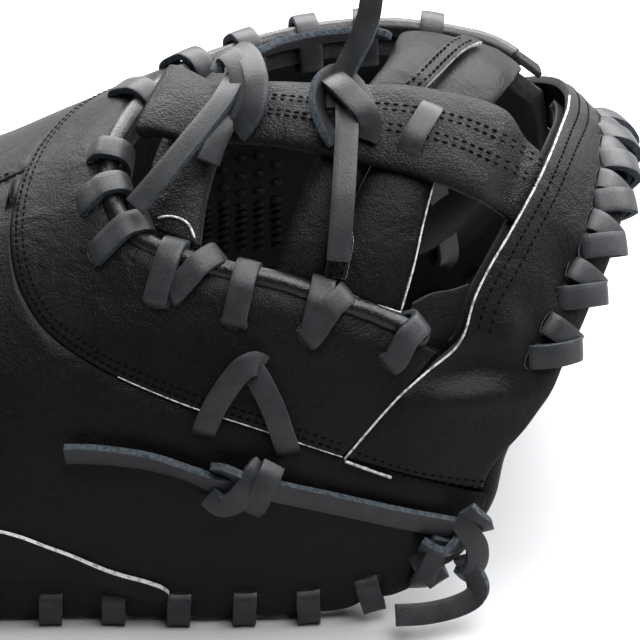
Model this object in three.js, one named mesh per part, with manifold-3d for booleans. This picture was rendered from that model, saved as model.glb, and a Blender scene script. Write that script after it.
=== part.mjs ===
// First baseman's mitt lying palm down, thumb side towards -Y, fingertips towards +X, +Z up.
// Millimetres. The leather is an open arch over a pocket, with a hand hollow between back and palm.
import * as THREE from 'three';
import { mergeVertices } from 'three/addons/utils/BufferGeometryUtils.js';
import Module from 'manifold-3d';

const wasm = await Module();
wasm.setup();

// Overall sizes
const mittLength = 298;
const ridgeHeight = 133;
const mittWidth = 160;
const rimTurn = 108;            // degrees from the ridge round to the rim that stands on the table
const rimClear = 2.7;           // leather rim above the table, where the lace passes under it

// Leather and padding
const backLeather = 2.2;
const crotchLeather = 2.6;
const capLeather = 2.6;
const palmThickness = 5;
const strapLeather = 2.4;
const wingLeather = 1.7;
const layerSpace = 2.6;         // between the back shells and the palm along every laced edge
const seamGap = 0.6;
const restGap = 0.35;
const laceGap = 0.5;            // between a lace and the leather that it passes over

// Web
const rollDiameter = 5.8;
const barThickness = 4.6;
const postThickness = 5.2;
const postEndThickness = 2.4;
const postOverRoll = 3.2;       // extra lift of the post's first end, which laps over the rolled edge
const postDip = 2.3;            // drop of the post's last end, which passes under the cap

// Hand hollow
const edgeBand = 14;            // width along every laced edge where palm and back lie together
const widestBand = 0.3;         // at most this share of a crossing is kept for the band
const hollowReach = 34;         // from there to the full depth of the hollow

// Laces
const laceWidth = 6.35;
const laceThickness = 2.3;
const rimPitch = 18.5;
const thumbRimPitch = 17.6;
const capPitch = 15.5;
const webPitch = 19;
const rimHole = 6.5;            // from a laced edge to its row of holes
const capHole = 10;
const meshDetail = 0.15;        // smallest detail kept where laces are joined
const laceSlant = 0.25;         // how far a band runs along the edge as it goes round, in lace widths
const webHole = 9.5;

// Cross sections of the arch from the wrist to the top of the web.
// along is a share of mittLength, rise of ridgeHeight, and thumb, finger and lean of mittWidth.
const sections = [
  { along: 0.00, rise: 0.466, thumb: 0.294, finger: 0.313, lean: 0.000 },
  { along: 0.10, rise: 0.511, thumb: 0.331, finger: 0.363, lean: 0.000 },
  { along: 0.25, rise: 0.609, thumb: 0.375, finger: 0.425, lean: 0.000 },
  { along: 0.42, rise: 0.737, thumb: 0.413, finger: 0.469, lean: 0.006 },
  { along: 0.51, rise: 0.827, thumb: 0.425, finger: 0.488, lean: 0.019 },
  { along: 0.61, rise: 0.917, thumb: 0.444, finger: 0.500, lean: 0.031 },
  { along: 0.70, rise: 0.977, thumb: 0.450, finger: 0.500, lean: 0.044 },
  { along: 0.79, rise: 1.000, thumb: 0.438, finger: 0.488, lean: 0.050 },
  { along: 0.87, rise: 0.970, thumb: 0.394, finger: 0.463, lean: 0.050 },
  { along: 0.94, rise: 0.865, thumb: 0.338, finger: 0.413, lean: 0.050 },
  { along: 1.01, rise: 0.714, thumb: 0.263, finger: 0.338, lean: 0.050 },
];

// The palm under the arch. rise is a share of ridgeHeight, inward a share of mittWidth.
const palmSections = [
  { along: 0.00, rise: 0.020, inward: 0.05 },
  { along: 0.033, rise: 0.024, inward: 0.05 },
  { along: 0.07, rise: 0.150, inward: 0.08 },
  { along: 0.15, rise: 0.310, inward: 0.11 },
  { along: 0.25, rise: 0.420, inward: 0.14 },
  { along: 0.35, rise: 0.526, inward: 0.16 },
  { along: 0.45, rise: 0.620, inward: 0.17 },
  { along: 0.55, rise: 0.700, inward: 0.17 },
  { along: 0.70, rise: 0.780, inward: 0.17 },
  { along: 0.85, rise: 0.780, inward: 0.15 },
  { along: 1.00, rise: 0.600, inward: 0.10 },
];

// Lines on the arch. along is a share of mittLength, turn is degrees round from the ridge,
// negative on the thumb side.
const rimRows = [
  { along: 0.000, turn: -108 },
  { along: 0.130, turn: -108 },
  { along: 0.260, turn: -108 },
  { along: 0.400, turn: -108 },
  { along: 0.540, turn: -108 },
  { along: 0.650, turn: -108 },
  { along: 0.720, turn: -107.5 },
  { along: 0.780, turn: -105 },
  { along: 0.826, turn: -100.5 },
  { along: 0.858, turn: -95.5 },
  { along: 0.876, turn: -89 },
  { along: 0.886, turn: -80.5 },
  { along: 0.908, turn: -73 },
  { along: 0.929, turn: -65 },
  { along: 0.952, turn: -54 },
  { along: 0.971, turn: -42 },
  { along: 0.985, turn: -28 },
  { along: 0.993, turn: -12 },
  { along: 0.998, turn: 6 },
  { along: 1.000, turn: 24 },
  { along: 0.998, turn: 42 },
  { along: 0.988, turn: 60 },
  { along: 0.968, turn: 77 },
  { along: 0.932, turn: 92 },
  { along: 0.880, turn: 102 },
  { along: 0.810, turn: 107.5 },
  { along: 0.720, turn: 108 },
  { along: 0.600, turn: 108 },
  { along: 0.450, turn: 108 },
  { along: 0.300, turn: 108 },
  { along: 0.150, turn: 108 },
  { along: 0.000, turn: 108 },
];

const heelRows = [
  { along: 0.000, turn: -108 },
  { along: -0.012, turn: -70 },
  { along: -0.020, turn: 0 },
  { along: -0.012, turn: 70 },
  { along: 0.000, turn: 108 },
];

const seamRows = [
  { along: 0.890, turn: 52 },
  { along: 0.840, turn: 51 },
  { along: 0.770, turn: 49 },
  { along: 0.690, turn: 46 },
  { along: 0.615, turn: 41 },
  { along: 0.555, turn: 33 },
  { along: 0.509, turn: 21 },
  { along: 0.477, turn: 7.5 },
  { along: 0.458, turn: -5 },
  { along: 0.449, turn: -17 },
  { along: 0.450, turn: -28 },
  { along: 0.461, turn: -38 },
  { along: 0.485, turn: -47.5 },
  { along: 0.527, turn: -56 },
  { along: 0.580, turn: -63 },
  { along: 0.650, turn: -70 },
  { along: 0.742, turn: -77.8 },
  { along: 0.788, turn: -81 },
  { along: 0.833, turn: -84.3 },
  { along: 0.878, turn: -87.5 },
];

const webRows = [
  { along: 0.829, turn: -62 },
  { along: 0.790, turn: -57.5 },
  { along: 0.740, turn: -53 },
  { along: 0.690, turn: -48.5 },
  { along: 0.640, turn: -44.2 },
  { along: 0.595, turn: -39 },
  { along: 0.560, turn: -33 },
  { along: 0.540, turn: -25 },
  { along: 0.534, turn: -16 },
  { along: 0.539, turn: -7 },
  { along: 0.553, turn: 2 },
  { along: 0.576, turn: 10 },
  { along: 0.610, turn: 16 },
  { along: 0.660, turn: 20 },
  { along: 0.730, turn: 22 },
  { along: 0.800, turn: 22.5 },
  { along: 0.870, turn: 21 },
  { along: 0.930, turn: 17 },
];

const capRows = [
  { along: 0.742, turn: -77.8 },
  { along: 0.790, turn: -68.5 },
  { along: 0.838, turn: -61.5 },
  { along: 0.855, turn: -53 },
  { along: 0.884, turn: -42 },
  { along: 0.908, turn: -30 },
  { along: 0.926, turn: -16 },
  { along: 0.940, turn: 0 },
  { along: 0.943, turn: 16 },
  { along: 0.925, turn: 35 },
  { along: 0.890, turn: 52 },
];

const ridgeSeamRows = [
  { along: 0.00, turn: -5 },
  { along: 0.15, turn: -5 },
  { along: 0.30, turn: -5 },
  { along: 0.458, turn: -5 },
];

const handFarRows = [
  { along: 0.00, turn: 58 },
  { along: 0.20, turn: 58 },
  { along: 0.40, turn: 54 },
  { along: 0.54, turn: 46 },
  { along: 0.615, turn: 41 },
];

const fingerSeamRows = [
  { along: 0.00, turn: 83 },
  { along: 0.25, turn: 83 },
  { along: 0.55, turn: 80 },
  { along: 0.80, turn: 79 },
  { along: 0.962, turn: 80 },
];

const capFarRows = [
  { along: 0.890, turn: 52 },
  { along: 0.940, turn: 53 },
  { along: 0.992, turn: 54 },
];

// Web pieces. Each row crosses the piece from its first edge to its second.
const postRows = [
  { alongA: 0.572, turnA: -11, alongB: 0.590, turnB: 17 },
  { alongA: 0.605, turnA: -14, alongB: 0.612, turnB: 12 },
  { alongA: 0.640, turnA: -17.5, alongB: 0.645, turnB: 3 },
  { alongA: 0.700, turnA: -22.5, alongB: 0.700, turnB: -3 },
  { alongA: 0.760, turnA: -27, alongB: 0.760, turnB: -7.5 },
  { alongA: 0.820, turnA: -31, alongB: 0.820, turnB: -10.5 },
  { alongA: 0.865, turnA: -34.5, alongB: 0.865, turnB: -11 },
  { alongA: 0.900, turnA: -37, alongB: 0.905, turnB: -13 },
  { alongA: 0.920, turnA: -38, alongB: 0.940, turnB: -15 },
];

const narrowBarRows = [
  { alongA: 0.574, turnA: -30, alongB: 0.622, turnB: -37 },
  { alongA: 0.568, turnA: -25, alongB: 0.620, turnB: -30 },
  { alongA: 0.572, turnA: -16, alongB: 0.630, turnB: -20 },
  { alongA: 0.583, turnA: -7, alongB: 0.640, turnB: -9 },
  { alongA: 0.600, turnA: 2, alongB: 0.652, turnB: 3 },
  { alongA: 0.626, turnA: 11, alongB: 0.668, turnB: 15 },
];

const wideBarRows = [
  { alongA: 0.694, turnA: -43, alongM: 0.738, turnM: -47, alongB: 0.794, turnB: -52 },
  { alongA: 0.698, turnA: -38, alongM: 0.745, turnM: -40, alongB: 0.808, turnB: -42 },
  { alongA: 0.710, turnA: -29, alongM: 0.760, turnM: -31, alongB: 0.824, turnB: -32 },
  { alongA: 0.735, turnA: -19, alongM: 0.792, turnM: -20, alongB: 0.852, turnB: -21 },
  { alongA: 0.765, turnA: -10, alongM: 0.825, turnM: -10, alongB: 0.880, turnB: -10 },
  { alongA: 0.784, turnA: 1, alongM: 0.848, turnM: 1, alongB: 0.896, turnB: 0 },
  { alongA: 0.797, turnA: 17, alongM: 0.866, turnM: 16, alongB: 0.908, turnB: 13.5 },
];

const strapRows = [
  { alongA: 0.020, turnA: -72, alongB: 0.105, turnB: -76 },
  { alongA: 0.012, turnA: -40, alongB: 0.112, turnB: -42 },
  { alongA: 0.008, turnA: 0, alongB: 0.115, turnB: 0 },
  { alongA: 0.012, turnA: 40, alongB: 0.112, turnB: 42 },
  { alongA: 0.020, turnA: 72, alongB: 0.105, turnB: 76 },
];

const wingRows = [
  { alongA: 0.240, turnA: -99, alongB: 0.230, turnB: -84 },
  { alongA: 0.340, turnA: -97, alongB: 0.340, turnB: -85 },
  { alongA: 0.430, turnA: -94.5, alongB: 0.430, turnB: -87 },
  { alongA: 0.488, turnA: -97, alongB: 0.488, turnB: -91 },
  { alongA: 0.535, turnA: -100, alongB: 0.535, turnB: -96.5 },
  { alongA: 0.577, turnA: -101.8, alongB: 0.579, turnB: -100.2 },
];

// Single laces, each a path on the arch. lift is a share of mittLength above what the lace lies on.
const crossLaceRows = [
  { along: 0.799, turn: -26, lift: 0 },
  { along: 0.809, turn: -20.5, lift: 0.002 },
  { along: 0.820, turn: -15, lift: 0 },
];

const veeFirstRows = [
  { along: 0.622, turn: -70.7, lift: 0 },
  { along: 0.642, turn: -66, lift: 0.003 },
  { along: 0.668, turn: -60, lift: 0.005 },
];

const veeSecondRows = [
  { along: 0.662, turn: -59.5, lift: 0.0005 },
  { along: 0.676, turn: -67, lift: 0.0005 },
  { along: 0.693, turn: -77.5, lift: 0 },
];

const longLaceRows = [
  { along: 0.494, turn: -70, lift: 0.002 },
  { along: 0.545, turn: -74, lift: 0.001 },
  { along: 0.600, turn: -79, lift: 0.001 },
  { along: 0.650, turn: -81.5, lift: 0.006 },
  { along: 0.690, turn: -83.5, lift: 0.005 },
  { along: 0.750, turn: -86.5, lift: 0.001 },
  { along: 0.800, turn: -89.5, lift: 0.001 },
  { along: 0.846, turn: -92.5, lift: 0.001 },
];

const longKnotRows = [
  { along: 0.632, turn: -86, lift: 0.004 },
  { along: 0.645, turn: -82, lift: 0.014 },
  { along: 0.668, turn: -80, lift: 0.015 },
  { along: 0.682, turn: -78.6, lift: 0.004 },
];

const firstTailRows = [
  { along: 0.555, turn: -24, lift: 0.003 },
  { along: 0.580, turn: -15, lift: 0.012 },
  { along: 0.610, turn: -7, lift: 0.013 },
  { along: 0.640, turn: 0, lift: 0.009 },
  { along: 0.655, turn: 8, lift: 0.001 },
];

const firstKnotRows = [
  { along: 0.627, turn: 12, lift: 0.003 },
  { along: 0.634, turn: 4, lift: 0.013 },
  { along: 0.650, turn: -5, lift: 0.010 },
  { along: 0.662, turn: -12, lift: -0.001 },
];

const secondTailRows = [
  { along: 0.768, turn: -45, lift: -0.012 },
  { along: 0.765, turn: -34, lift: -0.003 },
  { along: 0.758, turn: -24, lift: 0.003 },
  { along: 0.750, turn: -15, lift: 0.006 },
  { along: 0.753, turn: -8, lift: 0.010 },
  { along: 0.767, turn: -2, lift: 0.036 },
  { along: 0.785, turn: 4, lift: 0.066 },
];

const secondKnotRows = [
  { along: 0.722, turn: -16, lift: 0.001 },
  { along: 0.732, turn: -9, lift: 0.012 },
  { along: 0.760, turn: -13, lift: 0.012 },
  { along: 0.778, turn: -21, lift: 0.001 },
];

const farStrandRows = [
  { along: 0.664, turn: 8, lift: 0 },
  { along: 0.690, turn: 8.5, lift: 0 },
  { along: 0.735, turn: 8.5, lift: 0 },
  { along: 0.785, turn: 7, lift: 0 },
];

const tipKnotRows = [
  { along: 0.822, turn: -96, lift: 0.003 },
  { along: 0.834, turn: -92, lift: 0.013 },
  { along: 0.850, turn: -88, lift: 0.014 },
  { along: 0.862, turn: -84, lift: 0.004 },
];

const tipTailRows = [
  { along: 0.838, turn: -91, lift: 0.013 },
  { along: 0.868, turn: -91, lift: 0.018 },
  { along: 0.882, turn: -97, lift: 0.022 },
  { along: 0.868, turn: -103, lift: 0.025 },
  { along: 0.835, turn: -105.5, lift: 0.024 },
  { along: 0.795, turn: -106, lift: 0.022 },
];

const wallLaceRows = [
  { along: 0.826, turn: 68, lift: 0 },
  { along: 0.838, turn: 81, lift: 0 },
  { along: 0.848, turn: 93, lift: 0 },
];

// Monotone cubic through one column of a table
function columnCurve(rows, column) {
  const last = rows.length - 1;
  const span = (i) => rows[i + 1].along - rows[i].along;
  const slope = (i) => (rows[i + 1][column] - rows[i][column]) / span(i);
  const lean = rows.map((row, i) => {
    if (i === 0) return slope(0);
    if (i === last) return slope(last - 1);
    const before = slope(i - 1);
    const after = slope(i);
    return before * after <= 0 ? 0 : (2 * before * after) / (before + after);
  });
  return (along) => {
    const x = THREE.MathUtils.clamp(along, rows[0].along, rows[last].along);
    let i = 0;
    while (i < last - 1 && x > rows[i + 1].along) i += 1;
    const width = span(i);
    const t = (x - rows[i].along) / width;
    const bend = t * t * (3 - 2 * t);
    const start = t * (1 - t) * (1 - t) * width * lean[i];
    const end = t * t * (t - 1) * width * lean[i + 1];
    return rows[i][column] * (1 - bend) + rows[i + 1][column] * bend + start + end;
  };
}

const rise = columnCurve(sections, 'rise');
const thumbHalf = columnCurve(sections, 'thumb');
const fingerHalf = columnCurve(sections, 'finger');
const lean = columnCurve(sections, 'lean');
const palmRise = columnCurve(palmSections, 'rise');
const palmInward = columnCurve(palmSections, 'inward');

// Lines and places are kept flat as (along in millimetres, turn in millimetres)
const turnSpan = (mittWidth / 2) * (Math.PI / 180);
const place = (along, turn) => new THREE.Vector2(along * mittLength, turn * turnSpan);
const alongOf = (spot) => spot.x / mittLength;
const turnOf = (spot) => spot.y / turnSpan;
const lineThrough = (rows) => new THREE.SplineCurve(rows.map((row) => place(row.along, row.turn)));
const edgeThrough = (rows, side) => new THREE.SplineCurve(
  rows.map((row) => place(row[`along${side}`], row[`turn${side}`])),
);

// A point of the arch. depth is 0 on the back and 1 where the palm lies deepest.
function archPoint(spot, depth) {
  const along = alongOf(spot);
  const turn = THREE.MathUtils.degToRad(turnOf(spot));
  const rimCos = Math.cos(THREE.MathUtils.degToRad(rimTurn));
  const half = (turn < 0 ? thumbHalf(along) : fingerHalf(along)) - depth * palmInward(along);
  const top = THREE.MathUtils.lerp(rise(along), palmRise(along), depth);
  return new THREE.Vector3(
    along * mittLength,
    (lean(along) + half * Math.sin(turn)) * mittWidth,
    (top * ridgeHeight * (Math.cos(turn) - rimCos)) / (1 - rimCos) + rimClear,
  );
}

function liftedPoint(spot, lift, depthAt) {
  const step = 0.8;
  const at = (dx, dy) => {
    const near = new THREE.Vector2(spot.x + dx, spot.y + dy);
    return archPoint(near, depthAt(near));
  };
  const forward = at(step, 0).sub(at(-step, 0));
  const across = at(0, step).sub(at(0, -step));
  const normal = forward.cross(across).normalize();
  return { point: at(0, 0).addScaledVector(normal, lift), normal };
}

const onBack = () => 0;
const backPoint = (spot, lift) => liftedPoint(spot, lift, onBack);

// The laced lines
const rimLine = lineThrough(rimRows);
const heelLine = lineThrough(heelRows);
const seamLine = lineThrough(seamRows);
const webLine = lineThrough(webRows);
const capLine = lineThrough(capRows);
const ridgeSeam = lineThrough(ridgeSeamRows);
const handFarSeam = lineThrough(handFarRows);
const fingerSeam = lineThrough(fingerSeamRows);
const capFarLine = lineThrough(capFarRows);

function shareAt(line, along, turn) {
  const target = place(along, turn);
  const tries = 600;
  let best = 0;
  for (let i = 1; i <= tries; i += 1) {
    const nearer = line.getPointAt(i / tries).distanceTo(target);
    if (nearer < line.getPointAt(best / tries).distanceTo(target)) best = i;
  }
  return best / tries;
}

// A path made of stretches of lines, run through at an even pace
function route(...stretches) {
  const lengths = stretches.map(({ line, from = 0, to = 1 }) => line.getLength() * Math.abs(to - from));
  const total = lengths.reduce((sum, length) => sum + length, 0);
  return {
    total,
    at(share) {
      let left = share * total;
      let i = 0;
      while (i < lengths.length - 1 && left > lengths[i]) {
        left -= lengths[i];
        i += 1;
      }
      const { line, from = 0, to = 1 } = stretches[i];
      const part = THREE.MathUtils.clamp(left / lengths[i], 0, 1);
      return line.getPointAt(THREE.MathUtils.lerp(from, to, part));
    },
  };
}

// How far the palm has left the back: none along the laced edges, all of it in the hollow
const lacedSpots = [rimLine, webLine, capLine].flatMap((line) => line.getSpacedPoints(90));
function palmDepth(spot) {
  const nearest = Math.min(...lacedSpots.map((laced) => laced.distanceTo(spot)));
  return THREE.MathUtils.smoothstep(nearest, edgeBand, edgeBand + hollowReach);
}
const palmPoint = (spot, lift) => liftedPoint(spot, lift, palmDepth);

// One closed leather sheet between two routes, with its faces at two lifts
function sheet({ low, high, steps, rows, inner, outer, trim = {}, bands, surface = backPoint }) {
  const { lowGap = 0, highGap = 0, startGap = 0, endGap = 0 } = trim;
  const columns = steps + 1;
  const lines = rows + 1;
  const points = [];
  const longest = Math.max(low.total, high.total);
  for (const side of [0, 1]) {
    for (let i = 0; i < columns; i += 1) {
      const share = THREE.MathUtils.lerp(startGap / longest, 1 - endGap / longest, i / steps);
      const first = low.at(share);
      const second = high.at(share);
      const width = first.distanceTo(second);
      const lowBand = bands ? bandShare(low, share, second.clone().sub(first), bands) : 0;
      const highBand = bands ? bandShare(high, share, second.clone().sub(first), bands) : 0;
      for (let j = 0; j < lines; j += 1) {
        const across = acrossAt(j, rows, lowGap / width, 1 - highGap / width, lowBand, highBand);
        const spot = first.clone().lerp(second, across);
        const lift = side === 0 ? inner : outer;
        points.push(surface(spot, typeof lift === 'function' ? lift(share, across) : lift).point);
      }
    }
  }
  const index = (side, i, j) => side * columns * lines + i * lines + j;
  const faces = [];
  const quad = (a, b, c, d) => faces.push(a, b, c, a, c, d);
  for (let i = 0; i < steps; i += 1) {
    for (let j = 0; j < rows; j += 1) {
      quad(index(0, i, j), index(0, i, j + 1), index(0, i + 1, j + 1), index(0, i + 1, j));
      quad(index(1, i, j), index(1, i + 1, j), index(1, i + 1, j + 1), index(1, i, j + 1));
    }
  }
  for (let i = 0; i < steps; i += 1) {
    quad(index(0, i, 0), index(0, i + 1, 0), index(1, i + 1, 0), index(1, i, 0));
    quad(index(0, i + 1, rows), index(0, i, rows), index(1, i, rows), index(1, i + 1, rows));
  }
  for (let j = 0; j < rows; j += 1) {
    quad(index(0, 0, j + 1), index(0, 0, j), index(1, 0, j), index(1, 0, j + 1));
    quad(index(0, steps, j), index(0, steps, j + 1), index(1, steps, j + 1), index(1, steps, j));
  }
  return closedGeometry(points, faces);
}

// Where line j of a sheet lies; with bands, the lines next to its edges keep a band's width to them
function acrossAt(j, rows, first, last, lowBand, highBand) {
  if (lowBand === 0) return THREE.MathUtils.lerp(first, last, j / rows);
  if (j === 0) return first;
  if (j === rows) return last;
  return THREE.MathUtils.lerp(first + lowBand, last - highBand, (j - 1) / (rows - 2));
}

// The share of a crossing line that spans a band along an edge
function bandShare(edge, share, crossing, band) {
  const small = 0.003;
  const ahead = edge.at(Math.min(share + small, 1)).sub(edge.at(Math.max(share - small, 0))).normalize();
  const square = Math.abs(crossing.x * ahead.y - crossing.y * ahead.x);
  return Math.min(band / square, widestBand);
}

// Faces are turned outwards where a sheet runs the other way round
function closedGeometry(points, faces) {
  const volume = faces.reduce((sum, _, k) => {
    if (k % 3 !== 0) return sum;
    const [a, b, c] = [points[faces[k]], points[faces[k + 1]], points[faces[k + 2]]];
    return sum + a.dot(b.clone().cross(c));
  }, 0);
  const ordered = volume < 0 ? faces.map((_, k) => faces[k - (k % 3) + (2 - (k % 3))]) : faces;
  const geometry = new THREE.BufferGeometry();
  geometry.setAttribute('position', new THREE.Float32BufferAttribute(points.flatMap((p) => [p.x, p.y, p.z]), 3));
  geometry.setIndex(ordered);
  return geometry;
}

// A flat or round strip swept through stations of {point, normal}
function sweep(stations, section) {
  const count = section.length;
  const points = [];
  stations.forEach(({ point, normal }, i) => {
    const before = stations[Math.max(i - 1, 0)].point;
    const after = stations[Math.min(i + 1, stations.length - 1)].point;
    const forward = after.clone().sub(before).normalize();
    const side = forward.clone().cross(normal).normalize();
    const up = side.clone().cross(forward).normalize();
    for (const [across, high] of section) {
      points.push(point.clone().addScaledVector(side, across).addScaledVector(up, high));
    }
  });
  const faces = [];
  for (let i = 0; i < stations.length - 1; i += 1) {
    for (let j = 0; j < count; j += 1) {
      const a = i * count + j;
      const b = i * count + ((j + 1) % count);
      faces.push(a, b, b + count, a, b + count, a + count);
    }
  }
  const end = (stations.length - 1) * count;
  for (let j = 1; j < count - 1; j += 1) {
    faces.push(0, j + 1, j, end, end + j, end + j + 1);
  }
  return closedGeometry(points, faces);
}

const flatSection = (width, thickness) => [
  [-width / 2, -thickness / 2],
  [width / 2, -thickness / 2],
  [width / 2, thickness / 2],
  [-width / 2, thickness / 2],
];

const roundSection = (diameter, sides) => Array.from({ length: sides }, (_, i) => {
  const turn = (i * 2 * Math.PI) / sides;
  return [(Math.cos(turn) * diameter) / 2, (Math.sin(turn) * diameter) / 2];
});

function toSolid(geometry) {
  const merged = mergeVertices(geometry, 1e-4);
  return new wasm.Manifold(new wasm.Mesh({
    numProp: 3,
    vertProperties: new Float32Array(merged.attributes.position.array),
    triVerts: new Uint32Array(merged.index.array),
  }));
}

function fromSolid(solid) {
  const mesh = solid.getMesh();
  const geometry = new THREE.BufferGeometry();
  geometry.setAttribute('position', new THREE.BufferAttribute(new Float32Array(mesh.vertProperties), 3));
  geometry.setIndex(new THREE.BufferAttribute(new Uint32Array(mesh.triVerts), 1));
  return geometry;
}

// A box longer and deeper than the mitt, from one width to another, with its top at the given height
function boxSolid(low, high, top) {
  const box = new THREE.BoxGeometry(3 * mittLength, high - low, 3 * ridgeHeight).toNonIndexed();
  box.deleteAttribute('normal');
  box.deleteAttribute('uv');
  box.translate(0, (low + high) / 2, top - 1.5 * ridgeHeight);
  return toSolid(box);
}

// Pieces joined into one body and pressed flat where they would pass the table top
function joined(geometries) {
  const table = boxSolid(-mittWidth, mittWidth, 0);
  const whole = geometries.map(toSolid).reduce((sum, solid) => sum.add(solid));
  return fromSolid(whole.subtract(table).simplify(meshDetail));
}

// The lace that whips round an edge: bent bands joined by the strand that runs on inside
function edgeLace({ path, pitch, hole, bend, steps }) {
  const count = Math.max(2, Math.round(path.total / pitch));
  const section = flatSection(laceWidth, laceThickness);
  const inside = bend[bend.length - 1][1];
  const bands = Array.from({ length: count }, (_, i) => {
    const frame = edgeFrame(path, (i + 0.5) / count);
    const points = bend.map(([reach, lift], k) => {
      const slide = (k / (bend.length - 1) - 0.5) * laceWidth * laceSlant;
      return frame.at(reach, lift).addScaledVector(frame.ahead, slide);
    });
    const normals = bendNormals(points);
    return sweep(points.map((point, k) => ({ point, normal: normals[k] })), section);
  });
  const strand = Array.from({ length: steps + 1 }, (_, i) => {
    const share = THREE.MathUtils.lerp(0.5 / count, 1 - 0.5 / count, i / steps);
    const frame = edgeFrame(path, share);
    return { point: frame.at(hole - laceWidth / 8, inside), normal: frame.normal };
  });
  return joined([sweep(strand, flatSection(laceWidth * 0.7, laceThickness * 0.8)), ...bands]);
}

// Directions at a point of an edge: ahead along it, into the leather, and out of the back
function edgeFrame(path, share) {
  const small = 0.004;
  const spot = path.at(share);
  const edge = backPoint(spot, 0);
  const forward = path.at(Math.min(share + small, 1)).sub(path.at(Math.max(share - small, 0)));
  const ahead = backPoint(spot.clone().addScaledVector(forward.normalize(), 1), 0).point.sub(edge.point);
  ahead.addScaledVector(edge.normal, -ahead.dot(edge.normal)).normalize();
  const into = edge.normal.clone().cross(ahead).normalize();
  const alongStep = backPoint(spot.clone().add(new THREE.Vector2(1, 0)), 0).point.sub(edge.point);
  const turnStep = backPoint(spot.clone().add(new THREE.Vector2(0, 1)), 0).point.sub(edge.point);
  const [aa, at, tt] = [alongStep.dot(alongStep), alongStep.dot(turnStep), turnStep.dot(turnStep)];
  const [a, t] = [into.dot(alongStep), into.dot(turnStep)];
  const inSpot = new THREE.Vector2(a * tt - t * at, t * aa - a * at).divideScalar(aa * tt - at * at);
  return {
    ahead,
    normal: edge.normal,
    at(reach, lift) {
      if (reach > 0) return backPoint(spot.clone().addScaledVector(inSpot, reach), lift).point;
      return edge.point.clone().addScaledVector(into, reach).addScaledVector(edge.normal, lift);
    },
  };
}

// A bent band keeps its width along the edge, so its normals turn about that direction
function bendNormals(points) {
  const last = points.length - 1;
  const chord = points[last].clone().sub(points[0]);
  const plane = chord.cross(points[Math.floor(last / 2)].clone().sub(points[0])).normalize();
  return points.map((_, i) => {
    const before = points[Math.max(i - 1, 0)];
    const after = points[Math.min(i + 1, last)];
    return plane.clone().cross(after.clone().sub(before)).normalize();
  });
}

const laceRise = laceGap + laceThickness / 2;
const underRise = laceRise + 1.7;     // the palm's underside bulges a little between its rows
const backTop = layerSpace / 2 + backLeather;
const crotchTop = layerSpace / 2 + crotchLeather;
const capTop = layerSpace / 2 + seamGap + capLeather;
const palmUnder = -layerSpace / 2 - palmThickness;
const rollLift = layerSpace / 2;
const rollReach = rollDiameter / 2 + laceRise;
const webBandTop = rollLift + rollReach + laceThickness / 2;
const barTop = 1;
const postTop = barTop + restGap + postThickness;

// Bent paths of the lace as [into the leather, lift] pairs, outside first
const rimBend = (top, hole) => [
  [hole, top + laceRise],
  [-1.3, top + laceRise],
  [-laceRise - 1.6, (top + palmUnder) / 2],
  [-1.3, palmUnder - underRise],
  [hole + laceWidth / 4, palmUnder - underRise],
];

const webBend = (top, hole) => [
  [hole, top + laceRise],
  [rollDiameter * 0.4, rollLift + rollReach + 0.2],
  [-rollDiameter * 0.35, rollLift + rollReach],
  [-rollReach - 0.1, rollLift],
  [-rollReach, palmUnder * 0.7],
  [-rollDiameter * 0.2, palmUnder - underRise],
  [hole + laceWidth / 4, palmUnder - underRise],
];

// A lace that lies on the back, from its rows
function laceStations(rows, steps, surface, base) {
  const flat = new THREE.SplineCurve(rows.map((row) => place(row.along, row.turn)));
  const lifts = rows.map((row) => row.lift * mittLength);
  return Array.from({ length: steps + 1 }, (_, i) => {
    const share = i / steps;
    const spot = flat.getPoint(share);
    const k = Math.min(Math.floor(share * (rows.length - 1)), rows.length - 2);
    const part = THREE.MathUtils.smoothstep(share * (rows.length - 1) - k, 0, 1);
    return surface(spot, base + THREE.MathUtils.lerp(lifts[k], lifts[k + 1], part));
  });
}

function surfaceLace(paths, base, steps = 12, surface = backPoint) {
  const section = flatSection(laceWidth, laceThickness);
  return joined(paths.map((rows) => sweep(laceStations(rows, steps, surface, base), section)));
}

// Named places where lines meet
const junction = shareAt(seamLine, 0.458, -5);
const seamThumbEnd = shareAt(seamLine, 0.742, -77.8);
const seamFarPoint = shareAt(seamLine, 0.615, 41);
const rimThumbEnd = shareAt(rimLine, 0.876, -89);
const rimFarCorner = shareAt(rimLine, 0.992, 54);
const rimFingerEnd = shareAt(rimLine, 0.964, 80);
const capWebStart = shareAt(capLine, 0.838, -61.5);
const capWebEnd = shareAt(capLine, 0.943, 16);

const thumbWall = -0.21 * mittWidth;
const fingerWall = 0.15 * mittWidth;
const rollSpace = rollDiameter / 2 + restGap;
const rollSeam = 0.3;

// Back shells
function makeThumbShell() {
  return sheet({
    low: route({ line: rimLine, from: 0, to: rimThumbEnd }),
    high: route({ line: ridgeSeam }, { line: seamLine, from: junction, to: 0.992 }),
    steps: 24,
    rows: 6,
    inner: layerSpace / 2,
    outer: backTop,
    trim: { highGap: seamGap },
  });
}

function makeHandBack() {
  return sheet({
    low: route({ line: ridgeSeam }, { line: seamLine, from: junction, to: seamFarPoint + 0.012 }),
    high: route({ line: handFarSeam }),
    steps: 18,
    rows: 4,
    inner: layerSpace / 2,
    outer: backTop,
    trim: { lowGap: seamGap, highGap: seamGap, endGap: 4 },
  });
}

function makeIndexMiddleShell() {
  return sheet({
    low: route({ line: fingerSeam }),
    high: route({ line: handFarSeam }, { line: seamLine, from: seamFarPoint, to: 0 }, { line: capFarLine }),
    steps: 20,
    rows: 3,
    inner: layerSpace / 2,
    outer: backTop,
    trim: { lowGap: seamGap, highGap: seamGap },
  });
}

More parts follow.
